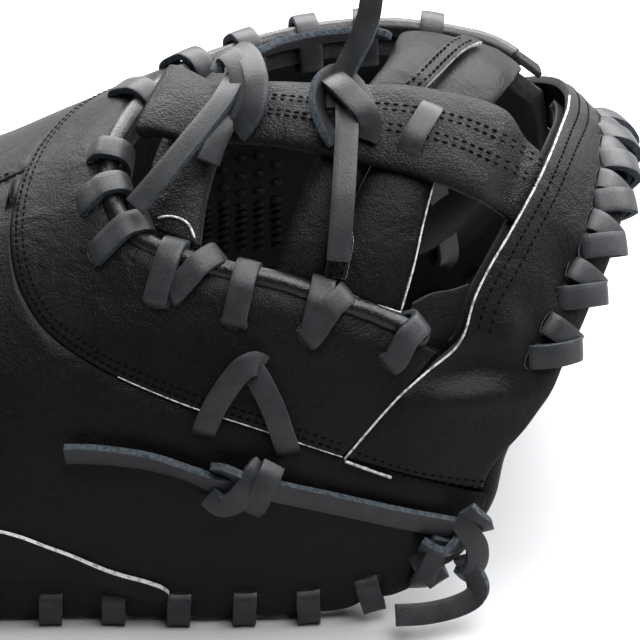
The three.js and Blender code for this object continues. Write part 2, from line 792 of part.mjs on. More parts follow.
function makeRingLittleShell() {
  return sheet({
    low: route({ line: rimLine, from: 1, to: rimFingerEnd }),
    high: route({ line: fingerSeam }),
    steps: 20,
    rows: 3,
    inner: layerSpace / 2,
    outer: backTop,
    trim: { highGap: seamGap, endGap: 3 },
  });
}

function makeCrotchPanel() {
  return sheet({
    low: route({ line: seamLine, from: 0, to: seamThumbEnd }),
    high: route({ line: webLine, from: 1, to: 0 }),
    steps: 38,
    rows: 3,
    inner: layerSpace / 2,
    outer: crotchTop,
    trim: { lowGap: seamGap, highGap: rollSpace + rollSeam, startGap: 1.5, endGap: 1.5 },
  });
}

function makeCap() {
  return sheet({
    low: route({ line: capLine }),
    high: route({ line: rimLine, from: rimThumbEnd + 0.004, to: rimFarCorner }),
    steps: 22,
    rows: 4,
    inner: capTop - capLeather,
    outer: capTop,
    trim: { startGap: seamGap, endGap: seamGap },
  });
}

// Palm side
function makePalm() {
  const geometry = sheet({
    low: route(
      { line: rimLine, from: rimThumbEnd, to: 0 },
      { line: heelLine },
      { line: rimLine, from: 1, to: rimFingerEnd },
    ),
    high: route({ line: webLine }),
    steps: 51,
    rows: 7,
    inner: palmUnder,
    outer: -layerSpace / 2,
    trim: { highGap: rollSpace + rollSeam, startGap: seamGap, endGap: seamGap },
    bands: edgeBand + 1,
    surface: palmPoint,
  });
  const position = geometry.attributes.position;
  for (let i = 0; i < position.count; i += 1) {
    position.setZ(i, Math.max(position.getZ(i), 0));
  }
  return toSolid(geometry);
}

// The stretch of the palm between two planes across the mitt
const palmPart = (solid, low, high) => fromSolid(
  solid.intersect(boxSolid(low, high, 2 * ridgeHeight)).simplify(meshDetail),
);

function makeCapLining() {
  return sheet({
    low: route({ line: capLine, from: capWebStart, to: capWebEnd }),
    high: route({ line: rimLine, from: rimThumbEnd, to: rimFingerEnd }),
    steps: 20,
    rows: 2,
    inner: -layerSpace / 2 - palmThickness / 2,
    outer: -layerSpace / 2,
    trim: { startGap: seamGap, endGap: seamGap },
    surface: palmPoint,
  });
}

// Web
function makeWebRoll() {
  const steps = 38;
  const section = roundSection(rollDiameter, 6);
  const stations = Array.from({ length: steps + 1 }, (_, i) => {
    const share = THREE.MathUtils.lerp(0.02, 0.965, i / steps);
    return backPoint(webLine.getPointAt(share), rollLift);
  });
  return sweep(stations, section);
}

function makePost() {
  const low = postBase();
  return sheet({
    low: route({ line: edgeThrough(postRows, 'A') }),
    high: route({ line: edgeThrough(postRows, 'B') }),
    steps: 18,
    rows: 3,
    inner: low,
    outer: (share) => low(share) + THREE.MathUtils.lerp(postThickness, postEndThickness, underCap(share)),
  });
}

const underCap = (share) => THREE.MathUtils.smoothstep(share, 0.82, 0.91);

function postBase() {
  return (share) => {
    const overRoll = 1 - THREE.MathUtils.smoothstep(share, 0.02, 0.14);
    return postTop - postThickness + overRoll * postOverRoll - underCap(share) * postDip;
  };
}

const crossBar = (rows, first, second, trim) => sheet({
  low: route({ line: edgeThrough(rows, first) }),
  high: route({ line: edgeThrough(rows, second) }),
  steps: 12,
  rows: 2,
  inner: barTop - barThickness,
  outer: barTop,
  trim,
});

// Straps on the back of the wrist and along the heel
function makeWristStrap() {
  return sheet({
    low: route({ line: edgeThrough(strapRows, 'A') }),
    high: route({ line: edgeThrough(strapRows, 'B') }),
    steps: 16,
    rows: 2,
    inner: backTop + restGap,
    outer: backTop + restGap + strapLeather,
  });
}

function makeHeelWing() {
  return sheet({
    low: route({ line: edgeThrough(wingRows, 'A') }),
    high: route({ line: edgeThrough(wingRows, 'B') }),
    steps: 12,
    rows: 2,
    inner: backTop + restGap,
    outer: backTop + restGap + wingLeather,
  });
}

// Edge laces
function rimLace(from, to, top, hole, pitch) {
  const path = route({ line: rimLine, from, to });
  return edgeLace({ path, pitch, hole, bend: rimBend(top, hole), steps: Math.ceil(path.total / rimPitch) });
}

function webLace(from, to) {
  const path = route({ line: webLine, from, to });
  const bend = webBend(crotchTop, webHole);
  return edgeLace({ path, pitch: webPitch, hole: webHole, bend, steps: Math.ceil(path.total / webHole) });
}

// Colours
const blackLeather = new THREE.MeshStandardMaterial({ color: 0x232122, roughness: 0.62, metalness: 0 });
const blackPalm = new THREE.MeshStandardMaterial({ color: 0x1d1c1d, roughness: 0.7, metalness: 0 });
const slateLace = new THREE.MeshStandardMaterial({ color: 0x2b2e31, roughness: 0.55, metalness: 0 });

const palm = makePalm();
const mitt = new THREE.Group();
mitt.name = 'mitt';

function add(name, geometry, material) {
  const mesh = new THREE.Mesh(geometry, material);
  mesh.name = name;
  mitt.add(mesh);
}

add('thumb_shell', makeThumbShell(), blackLeather);
add('hand_back', makeHandBack(), blackLeather);
add('index_middle_shell', makeIndexMiddleShell(), blackLeather);
add('ring_little_shell', makeRingLittleShell(), blackLeather);
add('crotch_panel', makeCrotchPanel(), blackLeather);
add('web_cap', makeCap(), blackLeather);
add('palm_thumb', palmPart(palm, -mittWidth, thumbWall), blackPalm);
add('palm_heel', palmPart(palm, thumbWall + seamGap, fingerWall - seamGap), blackPalm);
add('palm_finger', palmPart(palm, fingerWall, mittWidth), blackPalm);
add('cap_lining', makeCapLining(), blackPalm);
add('web_roll', makeWebRoll(), blackLeather);
add('web_post', makePost(), blackLeather);
add('narrow_bar', crossBar(narrowBarRows, 'A', 'B', {}), blackLeather);
add('wide_bar_left', crossBar(wideBarRows, 'A', 'M', { highGap: seamGap / 2 }), blackLeather);
add('wide_bar_right', crossBar(wideBarRows, 'M', 'B', { lowGap: seamGap / 2 }), blackLeather);
add('wrist_strap', makeWristStrap(), blackLeather);
add('heel_wing', makeHeelWing(), blackLeather);
add('thumb_rim_lace', rimLace(0.054, rimThumbEnd - 0.018, backTop, rimHole, thumbRimPitch), slateLace);
add('cap_lace', rimLace(rimThumbEnd + 0.02, rimFarCorner, capTop, capHole, capPitch), slateLace);
add('finger_rim_lace', rimLace(rimFarCorner + 0.03, 0.945, backTop, rimHole, rimPitch), slateLace);
add('web_lace_thumb', webLace(0.05, 0.33), slateLace);
add('web_lace_crotch', webLace(0.36, 0.60), slateLace);
add('web_lace_finger', webLace(0.66, 0.94), slateLace);
add('cross_lace', surfaceLace([crossLaceRows], postTop + laceRise, 6), slateLace);
add('vee_lace', surfaceLace([veeFirstRows, veeSecondRows], crotchTop + laceRise, 6), slateLace);
add('long_lace', surfaceLace([longLaceRows, longKnotRows], backTop + laceRise, 14), slateLace);
add('first_knot', surfaceLace([firstTailRows, firstKnotRows], postTop + laceRise, 10), slateLace);
add('second_knot', surfaceLace([secondTailRows, secondKnotRows], postTop + laceRise, 12), slateLace);
add('far_strand', surfaceLace([farStrandRows], barTop + laceRise, 6), slateLace);
add('tip_knot', surfaceLace([tipKnotRows, tipTailRows], backTop + laceRise, 12), slateLace);
add('wall_lace', surfaceLace([wallLaceRows], palmUnder - underRise - laceGap, 6, palmPoint), slateLace);

// The origin is the middle of the underside
const box = new THREE.Box3().setFromObject(mitt);
mitt.position.set(-(box.min.x + box.max.x) / 2, -(box.min.y + box.max.y) / 2, -box.min.z);
mitt.updateMatrixWorld(true);

export default mitt;
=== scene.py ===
import bisect
import math
import bpy
import bmesh
from mathutils import Matrix, Quaternion, Vector, kdtree, noise


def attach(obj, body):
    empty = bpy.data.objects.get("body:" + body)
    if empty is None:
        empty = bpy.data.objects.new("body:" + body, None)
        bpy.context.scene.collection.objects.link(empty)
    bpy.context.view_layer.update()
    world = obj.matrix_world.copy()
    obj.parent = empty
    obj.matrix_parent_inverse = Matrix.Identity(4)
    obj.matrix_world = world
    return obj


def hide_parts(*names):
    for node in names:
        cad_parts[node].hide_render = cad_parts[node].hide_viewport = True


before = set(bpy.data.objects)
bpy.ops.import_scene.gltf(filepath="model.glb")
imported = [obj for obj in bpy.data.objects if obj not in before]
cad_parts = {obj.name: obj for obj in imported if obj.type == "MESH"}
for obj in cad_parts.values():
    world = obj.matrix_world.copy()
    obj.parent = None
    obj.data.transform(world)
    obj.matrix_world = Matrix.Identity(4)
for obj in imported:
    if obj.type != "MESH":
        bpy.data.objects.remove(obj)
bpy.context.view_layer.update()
mm = 0.001
print("frame loaded")

# The arch that every leather piece follows: x runs from wrist to web top, turn goes round from the ridge
mittForm = {
    "length": 298,
    "ridgeHeight": 133,
    "width": 160,
    "rimTurn": 108,
    "rimClear": 2.7,
    "shift": (-149.234, -7.851),
    "edgeBand": 14,  # palm and back lie together this far in from a laced edge
    "hollowReach": 34,  # from there to the palm's full depth
    "folds": ((0.021, 3.1, 0.9), (0.065, 8.4, 0.3)),  # scale, seed and height of the soft and the fine folds
}
turnSpan = mittForm["width"] / 2 * math.pi / 180  # mm for one degree round the ridge

# along, rise, thumb half, finger half, lean
sections = [
    (0.0, 0.466, 0.294, 0.313, 0.0),
    (0.1, 0.511, 0.331, 0.363, 0.0),
    (0.25, 0.609, 0.375, 0.425, 0.0),
    (0.42, 0.737, 0.413, 0.469, 0.006),
    (0.51, 0.827, 0.425, 0.488, 0.019),
    (0.61, 0.917, 0.444, 0.5, 0.031),
    (0.7, 0.977, 0.45, 0.5, 0.044),
    (0.79, 1.0, 0.438, 0.488, 0.05),
    (0.87, 0.97, 0.394, 0.463, 0.05),
    (0.94, 0.865, 0.338, 0.413, 0.05),
    (1.01, 0.714, 0.263, 0.338, 0.05),
]
# along, rise, how far in from the back
palmSections = [
    (0.0, 0.02, 0.05), (0.033, 0.024, 0.05), (0.07, 0.15, 0.08), (0.15, 0.31, 0.11),
    (0.25, 0.42, 0.14), (0.35, 0.526, 0.16), (0.45, 0.62, 0.17), (0.55, 0.7, 0.17),
    (0.7, 0.78, 0.17), (0.85, 0.78, 0.15), (1.0, 0.6, 0.1),
]
# dents and bumps of the leather: along, turn, size along in mm, size round in mm, height in mm
dents = [
    (0.846, -65.6, 12, 4.2, -3.3),
    (0.852, -69.4, 15, 3.6, 1.6),
    (0.884, -58.9, 6, 6, 1.8),
    (0.868, -62.5, 8, 4.5, -1.2),
    (0.915, -66.5, 6, 6, 1.4),
    (0.903, -58.5, 4, 7, -0.9),
    (0.93, -47.0, 4, 8, -0.9),
    (0.935, -54.0, 5, 5, 0.9),
    (0.952, -39.0, 5, 6, 0.8),
    (0.56, -60.0, 26, 10, -0.8),
    (0.25, -62.0, 22, 14, 1.0),
    (0.12, -40.0, 20, 16, -1.0),
]


def sampledCurve(rows, column):
    places = [row[0] for row in rows]
    values = [row[column] for row in rows]
    last = len(rows) - 1
    slopes = [(values[i + 1] - values[i]) / (places[i + 1] - places[i]) for i in range(last)]
    leans = [slopes[0]]
    for before, after in zip(slopes, slopes[1:]):
        leans.append(0 if before * after <= 0 else 2 * before * after / (before + after))
    leans.append(slopes[-1])

    def exact(place):
        place = min(max(place, places[0]), places[-1])
        i = min(bisect.bisect_right(places, place) - 1, last - 1)
        width = places[i + 1] - places[i]
        part = (place - places[i]) / width
        bend = part * part * (3 - 2 * part)
        start = part * (1 - part) ** 2 * width * leans[i]
        end = part * part * (part - 1) * width * leans[i + 1]
        return values[i] * (1 - bend) + values[i + 1] * bend + start + end

    table = [exact(k / 1000 - 0.1) for k in range(1201)]

    def at(place):
        k = min(max((place + 0.1) * 1000, 0), 1199.99)
        i = int(k)
        return table[i] + (table[i + 1] - table[i]) * (k - i)

    return at


rise, thumbHalf, fingerHalf, lean = [sampledCurve(sections, k) for k in (1, 2, 3, 4)]
palmRise, palmInward = [sampledCurve(palmSections, k) for k in (1, 2)]
rimCos = math.cos(math.radians(mittForm["rimTurn"]))


def archPoint(x, t, depth=0.0):
    along = x / mittForm["length"]
    turn = math.radians(t / turnSpan)
    half = (thumbHalf(along) if turn < 0 else fingerHalf(along)) - depth * palmInward(along)
    top = rise(along) * (1 - depth) + palmRise(along) * depth
    height = top * mittForm["ridgeHeight"] * (math.cos(turn) - rimCos) / (1 - rimCos)
    return Vector((
        x + mittForm["shift"][0],
        (lean(along) + half * math.sin(turn)) * mittForm["width"] + mittForm["shift"][1],
        height + mittForm["rimClear"],
    ))


def relief(x, t):
    total = 0.0
    for scale, seed, height in mittForm["folds"]:
        total += noise.noise(Vector((x * scale, t * scale, seed))) * height
    for along, turn, wide, tall, height in dents:
        dx = (x - along * mittForm["length"]) / wide
        dt = (t - turn * turnSpan) / tall
        if abs(dx) < 3 and abs(dt) < 3:
            total += height * math.exp(-dx * dx - dt * dt)
    return total


def surfaceAt(x, t, lift=0.0, depthAt=None, folds=1.0):
    step = 0.8  # mm to either side, for the surface's slope

    def place(dx, dt):
        return archPoint(x + dx, t + dt, depthAt(x + dx, t + dt) if depthAt else 0.0)

    ahead = place(step, 0) - place(-step, 0)
    across = place(0, step) - place(0, -step)
    normal = ahead.cross(across).normalized()
    return place(0, 0) + normal * (lift + folds * relief(x, t)), normal


def catmull(p0, p1, p2, p3, part):
    first = (p2 - p0) * 0.5
    second = (p3 - p1) * 0.5
    square = part * part
    cube = square * part
    return (p1 * 2 - p2 * 2 + first + second) * cube + (p1 * -3 + p2 * 3 - first * 2 - second) * square + \
        first * part + p1


def smoothThrough(points, pieces):
    last = len(points) - 1
    path = []
    for i in range(last):
        around = [points[min(max(k, 0), last)] for k in (i - 1, i, i + 1, i + 2)]
        path += [catmull(*around, k / pieces) for k in range(pieces)]
    return path + [points[-1]]


class ChartLine:
    # a line drawn on the flat chart of the arch, run through at an even pace
    def __init__(self, points):
        self.points = points
        self.lengths = [0.0]
        for before, after in zip(points, points[1:]):
            self.lengths.append(self.lengths[-1] + (after - before).length)
        self.total = self.lengths[-1]

    def at(self, share):
        target = min(max(share, 0.0), 1.0) * self.total
        i = min(bisect.bisect_right(self.lengths, target) - 1, len(self.points) - 2)
        span = self.lengths[i + 1] - self.lengths[i]
        return self.points[i].lerp(self.points[i + 1], (target - self.lengths[i]) / span if span else 0.0)

    def part(self, start, end, count=160):
        return [self.at(start + (end - start) * k / count) for k in range(count + 1)]

    def shareNear(self, along, turn):
        target = chartSpot(along, turn)
        return min(range(601), key=lambda k: (self.at(k / 600) - target).length) / 600


def chartSpot(along, turn):
    return Vector((along * mittForm["length"], turn * turnSpan))


def lineThrough(rows):
    return ChartLine(smoothThrough([chartSpot(along, turn) for along, turn in rows], 24))


def edgePair(rows, pieces=20):
    # the two long edges of a strip, whose rows cross it as along, turn, along, turn
    return [ChartLine(smoothThrough([chartSpot(row[k], row[k + 1]) for row in rows], pieces)) for k in (0, 2)]


def route(*stretches):
    points = []
    for line, start, end in stretches:
        points += line.part(start, end)
    return ChartLine([p for k, p in enumerate(points) if k == 0 or (p - points[k - 1]).length > 1e-6])


# Lines on the chart, as along and turn
rimLine = lineThrough([
    (0.0, -108), (0.13, -108), (0.26, -108), (0.4, -108), (0.54, -108), (0.65, -108), (0.72, -107.5),
    (0.78, -105), (0.826, -100.5), (0.858, -95.5), (0.876, -89), (0.886, -80.5), (0.908, -73), (0.929, -65),
    (0.952, -54), (0.971, -42), (0.985, -28), (0.993, -12), (0.998, 6), (1.0, 24), (0.998, 42), (0.988, 60),
    (0.968, 77), (0.932, 92), (0.88, 102), (0.81, 107.5), (0.72, 108), (0.6, 108), (0.45, 108),
    (0.3, 108), (0.15, 108), (0.0, 108),
])
heelLine = lineThrough([(0.0, -108), (-0.012, -70), (-0.02, 0), (-0.012, 70), (0.0, 108)])
seamLine = lineThrough([
    (0.89, 52), (0.84, 51), (0.77, 49), (0.69, 46), (0.615, 41), (0.555, 33), (0.509, 21), (0.477, 7.5),
    (0.458, -5), (0.449, -17), (0.45, -28), (0.461, -38), (0.485, -47.5), (0.527, -56), (0.58, -63),
    (0.65, -70), (0.742, -77.8), (0.788, -81), (0.833, -84.3), (0.878, -87.5),
])
webLine = lineThrough([
    (0.829, -62), (0.79, -57.5), (0.74, -53), (0.69, -48.5), (0.64, -44.2), (0.595, -39), (0.56, -33),
    (0.54, -25), (0.534, -16), (0.539, -7), (0.553, 2), (0.576, 10), (0.61, 16), (0.66, 20), (0.73, 22),
    (0.8, 22.5), (0.87, 21), (0.93, 17),
])
capLine = lineThrough([
    (0.742, -77.8), (0.79, -68.5), (0.838, -61.5), (0.855, -53), (0.884, -42), (0.908, -30), (0.926, -16),
    (0.94, 0), (0.943, 16), (0.925, 35), (0.89, 52),
])
ridgeSeam = lineThrough([(0.0, -5), (0.15, -5), (0.3, -5), (0.458, -5)])
handFarSeam = lineThrough([(0.0, 58), (0.2, 58), (0.4, 54), (0.54, 46), (0.615, 41)])
fingerSeam = lineThrough([(0.0, 83), (0.25, 83), (0.55, 80), (0.8, 79), (0.962, 80)])
capFarLine = lineThrough([(0.89, 52), (0.94, 53), (0.992, 54)])

junction = seamLine.shareNear(0.458, -5)
seamThumbEnd = seamLine.shareNear(0.742, -77.8)
seamFarPoint = seamLine.shareNear(0.615, 41)
rimThumbEnd = rimLine.shareNear(0.876, -89)
rimFarCorner = rimLine.shareNear(0.992, 54)
rimFingerEnd = rimLine.shareNear(0.964, 80)

lacedSpots = [line.at(k / 180) for line in (rimLine, webLine, capLine) for k in range(181)]
lacedTree = kdtree.KDTree(len(lacedSpots))
for spotIndex, spot in enumerate(lacedSpots):
    lacedTree.insert((*spot, 0), spotIndex)
lacedTree.balance()


def palmDepth(x, t):
    nearest = lacedTree.find((x, t, 0))[2]
    part = min(max((nearest - mittForm["edgeBand"]) / mittForm["hollowReach"], 0.0), 1.0)
    return part * part * (3 - 2 * part)


# Heights over the arch in mm
layers = {
    "backTop": 3.5,
    "crotchTop": 3.9,
    "capTop": 4.5,
    "palmTop": -1.3,
    "palmUnder": -6.3,
    "rollLift": 1.3,
    "rollDiameter": 5.6,
    "postTop": 6.4,
}
print("chart drawn")


# Materials
def newMaterial(name):
    material = bpy.data.materials.new(name)
    material.use_nodes = True
    tree = material.node_tree
    tree.nodes.clear()
    output = tree.nodes.new("ShaderNodeOutputMaterial")
    shader = tree.nodes.new("ShaderNodeBsdfPrincipled")
    tree.links.new(shader.outputs["BSDF"], output.inputs["Surface"])
    return material, tree, shader


def addNode(tree, kind, settings=None, **links):
    node = tree.nodes.new(kind)
    for key, value in (settings or {}).items():
        if key in node.inputs:
            node.inputs[key].default_value = value
        else:
            setattr(node, key, value)
    for key, value in links.items():
        tree.links.new(value, node.inputs[key.replace("_", " ")])
    return node


def ramp(tree, factor, stops):
    node = addNode(tree, "ShaderNodeValToRGB", None, Fac=factor)
    elements = node.color_ramp.elements
    while len(elements) < len(stops):
        elements.new(0.5)
    for element, (place, colour) in zip(elements, stops):
        element.position = place
        element.color = (*colour, 1)
    return node.outputs["Color"]


def bumpOf(tree, height, strength, distance, normal=None):
    node = addNode(tree, "ShaderNodeBump", {"Strength": strength, "Distance": distance}, Height=height)
    if normal is not None:
        tree.links.new(normal, node.inputs["Normal"])
    return node.outputs["Normal"]


def leatherMaterial(name, look):
    material, tree, shader = newMaterial(name)
    place = addNode(tree, "ShaderNodeTexCoord").outputs["Object"]
    warp = addNode(tree, "ShaderNodeTexNoise", {"Scale": 160.0, "Detail": 2.0}, Vector=place)
    bent = addNode(tree, "ShaderNodeMixRGB", {"blend_type": "LINEAR_LIGHT", "Fac": look["warp"]},
                   Color1=place, Color2=warp.outputs["Color"]).outputs["Color"]
    cells = addNode(tree, "ShaderNodeTexVoronoi", {"feature": "DISTANCE_TO_EDGE", "Scale": look["grain"]},
                    Vector=bent)
    pores = addNode(tree, "ShaderNodeTexNoise", {
        "Scale": look["grain"] * 2.1, "Detail": 3.0, "Roughness": 0.6}, Vector=place)
    creases = addNode(tree, "ShaderNodeTexNoise", {
        "Scale": look["creases"], "Detail": 5.0, "Roughness": 0.62, "Distortion": 0.6}, Vector=place)
    patches = addNode(tree, "ShaderNodeTexNoise", {
        "Scale": 26.0, "Detail": 3.0, "Roughness": 0.5}, Vector=place)
    cellLow = ramp(tree, cells.outputs["Distance"], [(0.0, (0, 0, 0)), (0.22, (1, 1, 1))])
    soft = bumpOf(tree, creases.outputs["Fac"], look["creaseDepth"], 0.0016)
    grain = bumpOf(tree, cellLow, look["grainDepth"], 0.00016, soft)
    fine = bumpOf(tree, pores.outputs["Fac"], 0.35, 0.00012, grain)
    tree.links.new(fine, shader.inputs["Normal"])
    low, high = look["colours"]
    colour = ramp(tree, patches.outputs["Fac"], [(0.32, low), (0.68, high)])
    # painted shade: the base colour is darkened in the grain's sunken furrows between the cells
    furrowShade = addNode(tree, "ShaderNodeMixRGB", {"blend_type": "MULTIPLY", "Fac": 0.55},
                   Color1=colour, Color2=cellLow)
    tree.links.new(furrowShade.outputs["Color"], shader.inputs["Base Color"])
    rough = addNode(tree, "ShaderNodeMapRange", {
        "To Min": look["rough"] - 0.07, "To Max": look["rough"] + 0.08}, Value=patches.outputs["Fac"])
    tree.links.new(rough.outputs["Result"], shader.inputs["Roughness"])
    shader.inputs["Sheen Weight"].default_value = look.get("sheen", 0.0)
    shader.inputs["Sheen Roughness"].default_value = 0.45
    shader.inputs["Specular IOR Level"].default_value = look["gloss"]
    return material


def fibreMaterial(name, look):
    material, tree, shader = newMaterial(name)
    place = addNode(tree, "ShaderNodeTexCoord").outputs["Object"]
    fibres = addNode(tree, "ShaderNodeTexNoise", {"Scale": look["fibres"], "Detail": 4.0, "Roughness": 0.7},
                     Vector=place)
    flecks = addNode(tree, "ShaderNodeTexNoise", {"Scale": look["flecks"], "Detail": 2.0}, Vector=place)
    normal = bumpOf(tree, fibres.outputs["Fac"], look["depth"], 0.0003)
    tree.links.new(normal, shader.inputs["Normal"])
    low, high = look["colours"]
    base = ramp(tree, flecks.outputs["Fac"], [(look.get("low", 0.3), low), (look.get("high", 0.7), high)])
    mixed = addNode(tree, "ShaderNodeMixRGB", {"blend_type": "MULTIPLY", "Fac": 0.4}, Color1=base,
                    Color2=ramp(tree, fibres.outputs["Fac"], [(0.3, (0.4, 0.4, 0.4)), (0.62, (1, 1, 1))]))
    tree.links.new(mixed.outputs["Color"], shader.inputs["Base Color"])
    shader.inputs["Roughness"].default_value = look["rough"]
    shader.inputs["Specular IOR Level"].default_value = look["gloss"]
    return material


materials = {
    "shell": leatherMaterial("blackShellLeather", {
        "colours": ((0.0036, 0.0034, 0.004), (0.0058, 0.0055, 0.0063)), "grain": 1150.0, "creases": 90.0,
        "warp": 0.0006, "creaseDepth": 0.55, "grainDepth": 0.3, "rough": 0.45, "gloss": 0.11}),
    "web": leatherMaterial("pebbledWebLeather", {
        "colours": ((0.006, 0.0056, 0.0066), (0.0095, 0.0089, 0.01)), "grain": 900.0, "creases": 110.0,
        "warp": 0.0008, "creaseDepth": 0.6, "grainDepth": 0.55, "rough": 0.48, "gloss": 0.13}),
    "roll": leatherMaterial("shinyRolledLeather", {
        "colours": ((0.0055, 0.0052, 0.006), (0.0085, 0.008, 0.009)), "grain": 1150.0, "creases": 90.0,
        "warp": 0.0006, "creaseDepth": 0.35, "grainDepth": 0.2, "rough": 0.34, "gloss": 0.32}),
    "palm": leatherMaterial("darkPalmLeather", {
        "colours": ((0.0055, 0.0055, 0.0068), (0.0085, 0.0085, 0.01)), "grain": 1000.0, "creases": 70.0,
        "warp": 0.0006, "creaseDepth": 0.3, "grainDepth": 0.3, "rough": 0.6, "sheen": 0.01, "gloss": 0.12}),
    "lace": fibreMaterial("slateLaceFace", {
        "colours": ((0.012, 0.0126, 0.0145), (0.022, 0.0228, 0.0255)), "fibres": 1300.0, "flecks": 180.0,
        "low": 0.35, "depth": 0.4, "rough": 0.46, "gloss": 0.3}),
    "laceEdge": fibreMaterial("slateLaceCutEdge", {
        "colours": ((0.016, 0.021, 0.026), (0.056, 0.068, 0.078)), "fibres": 2200.0, "flecks": 900.0,
        "depth": 0.9, "rough": 0.85, "gloss": 0.1}),
    "rawEdge": fibreMaterial("paleCutLeatherEdge", {
        "colours": ((0.2, 0.2, 0.205), (0.54, 0.53, 0.52)), "fibres": 2400.0, "flecks": 650.0,
        "low": 0.34, "high": 0.54, "depth": 1.0, "rough": 0.9, "gloss": 0.15}),
    "darkEdge": fibreMaterial("dyedCutLeatherEdge", {
        "colours": ((0.012, 0.012, 0.014), (0.03, 0.03, 0.034)), "fibres": 2400.0, "flecks": 700.0,
        "depth": 0.8, "rough": 0.8, "gloss": 0.25}),
    "thread": fibreMaterial("blackWaxedThread", {
        "colours": ((0.001, 0.001, 0.0013), (0.0028, 0.0028, 0.0032)), "fibres": 3000.0, "flecks": 900.0,
        "depth": 0.5, "rough": 0.8, "gloss": 0.03}),
    "hole": fibreMaterial("punchedHoleShadow", {
        "colours": ((0.002, 0.002, 0.002), (0.004, 0.004, 0.004)), "fibres": 2000.0, "flecks": 700.0,
        "depth": 0.3, "rough": 0.95, "gloss": 0.05}),
}
print("materials made")


# Making pieces
def finishPiece(bm, name, faces, edge=None, replaces=(), thickness=0.0, offset=-1.0,
                bevel=0.0):
    mesh = bpy.data.meshes.new(name)
    bm.to_mesh(mesh)
    bm.free()
    piece = bpy.data.objects.new(name, mesh)
    bpy.context.scene.collection.objects.link(piece)
    for key in faces:
        mesh.materials.append(materials[key])
    if edge:
        mesh.materials.append(materials[edge])
    mesh.polygons.foreach_set("use_smooth", [True] * len(mesh.polygons))
    if thickness:
        wall = piece.modifiers.new("wall", "SOLIDIFY")
        wall.thickness = thickness * mm
        wall.offset = offset
        wall.use_even_offset = False
        wall.material_offset_rim = len(faces) if edge else 0
    if bevel:
        soften = piece.modifiers.new("softEdge", "BEVEL")
        soften.width = bevel * mm
        soften.segments = 2
        soften.limit_method = "ANGLE"
        soften.angle_limit = math.radians(50)
    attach(piece, "root")
    if replaces:
        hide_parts(*replaces)
    return piece


def gridSpots(bm, along, across):
    # a flat grid, each vertex with its share of the way along and across
    made = bmesh.ops.create_grid(bm, x_segments=along, y_segments=across, size=0.5)["verts"]
    lowX, highX = min(v.co.x for v in made), max(v.co.x for v in made)
    lowY, highY = min(v.co.y for v in made), max(v.co.y for v in made)
    return [(v, (v.co.x - lowX) / (highX - lowX), (v.co.y - lowY) / (highY - lowY)) for v in made]


def faceOutwards(bm, coreHeight):
    # an open sheet is turned to look away from the middle of the arch
    bm.normal_update()
    bm.faces.ensure_lookup_table()
    middle = bm.faces[len(bm.faces) // 2]
    centre = middle.calc_center_median() / mm
    if middle.normal.dot(centre - Vector((centre.x, mittForm["shift"][1], coreHeight))) < 0:
        bmesh.ops.reverse_faces(bm, faces=bm.faces[:])


def mergeInto(bm, part):
    mesh = bpy.data.meshes.new("part")
    part.to_mesh(mesh)
    part.free()
    bm.from_mesh(mesh)
    bpy.data.meshes.remove(mesh)


# All reaches in mm: soften rounds an edge down, drop sinks it under its neighbour, cut shortens a corner
panelEdge = {"soften": 0.35, "softenReach": 1.3, "dropReach": 4, "cutReach": 9, "farCutReach": 11}


def makePanel(name, low, high, look, wave=None):
    bm = bmesh.new()
    longest = max(low.total, high.total)
    widest = max((low.at(k / 8) - high.at(k / 8)).length for k in range(9))
    spacing = look.get("spacing", 1.8)
    depthAt = palmDepth if look.get("palm") else None
    lowGap, highGap, startGap, endGap, lowCut, highCut, highDrop, floor = [look.get(key, 0.0) for key in (
        "lowGap", "highGap", "startGap", "endGap", "lowCut", "highCut", "highDrop", "floor")]
    for vert, u, v in gridSpots(bm, math.ceil(longest / spacing), max(6, math.ceil(widest / spacing))):
        share = startGap / longest + (1 - (startGap + endGap) / longest) * u
        first, second = low.at(share), high.at(share)
        width = (second - first).length
        inset = lowGap + (wave(share) if wave else 0.0)
        inset += lowCut * math.exp(-((1 - share) * longest / panelEdge["cutReach"]) ** 2)
        farInset = highGap + highCut * math.exp(-(share * longest / panelEdge["farCutReach"]) ** 2)
        across = inset / width + (1 - (inset + farInset) / width) * v
        spot = first.lerp(second, across)
        lift = look["lift"] - highDrop * math.exp(-((1 - v) * width / panelEdge["dropReach"]) ** 2)
        for fromEdge in (v * width, (1 - v) * width):
            lift -= panelEdge["soften"] * math.exp(-fromEdge / panelEdge["softenReach"])
        point = surfaceAt(spot.x, spot.y, lift, depthAt)[0]
        if look.get("palm"):
            point.z = max(point.z, floor)
        vert.co = point * mm
    faceOutwards(bm, 40)
    return finishPiece(bm, name, [look["material"]], look["edge"],
                       look["replaces"], look["thickness"], -1.0, look.get("bevel", 0.35))


def waveAlong(start, end, count, depth):
    # the leather is drawn in by every lace that goes round its edge
    def at(share):
        k = (share - start) / (end - start) * count
        if k < 0 or k > count:
            return 0.0
        return depth * (0.5 - 0.5 * math.cos(2 * math.pi * k)) ** 2
    return at


laceLook = {"width": 6.35, "thickness": 2.1, "thumbPitch": 17.6, "rimPitch": 18.5, "capPitch": 18.5}
thumbRim = {"from": 0.054, "to": rimThumbEnd - 0.018}
thumbRim["count"] = round(rimLine.total * (thumbRim["to"] - thumbRim["from"]) / laceLook["thumbPitch"])
fingerRim = {"from": rimFarCorner + 0.03, "to": 0.945}
fingerRim["count"] = round(rimLine.total * (fingerRim["to"] - fingerRim["from"]) / laceLook["rimPitch"])

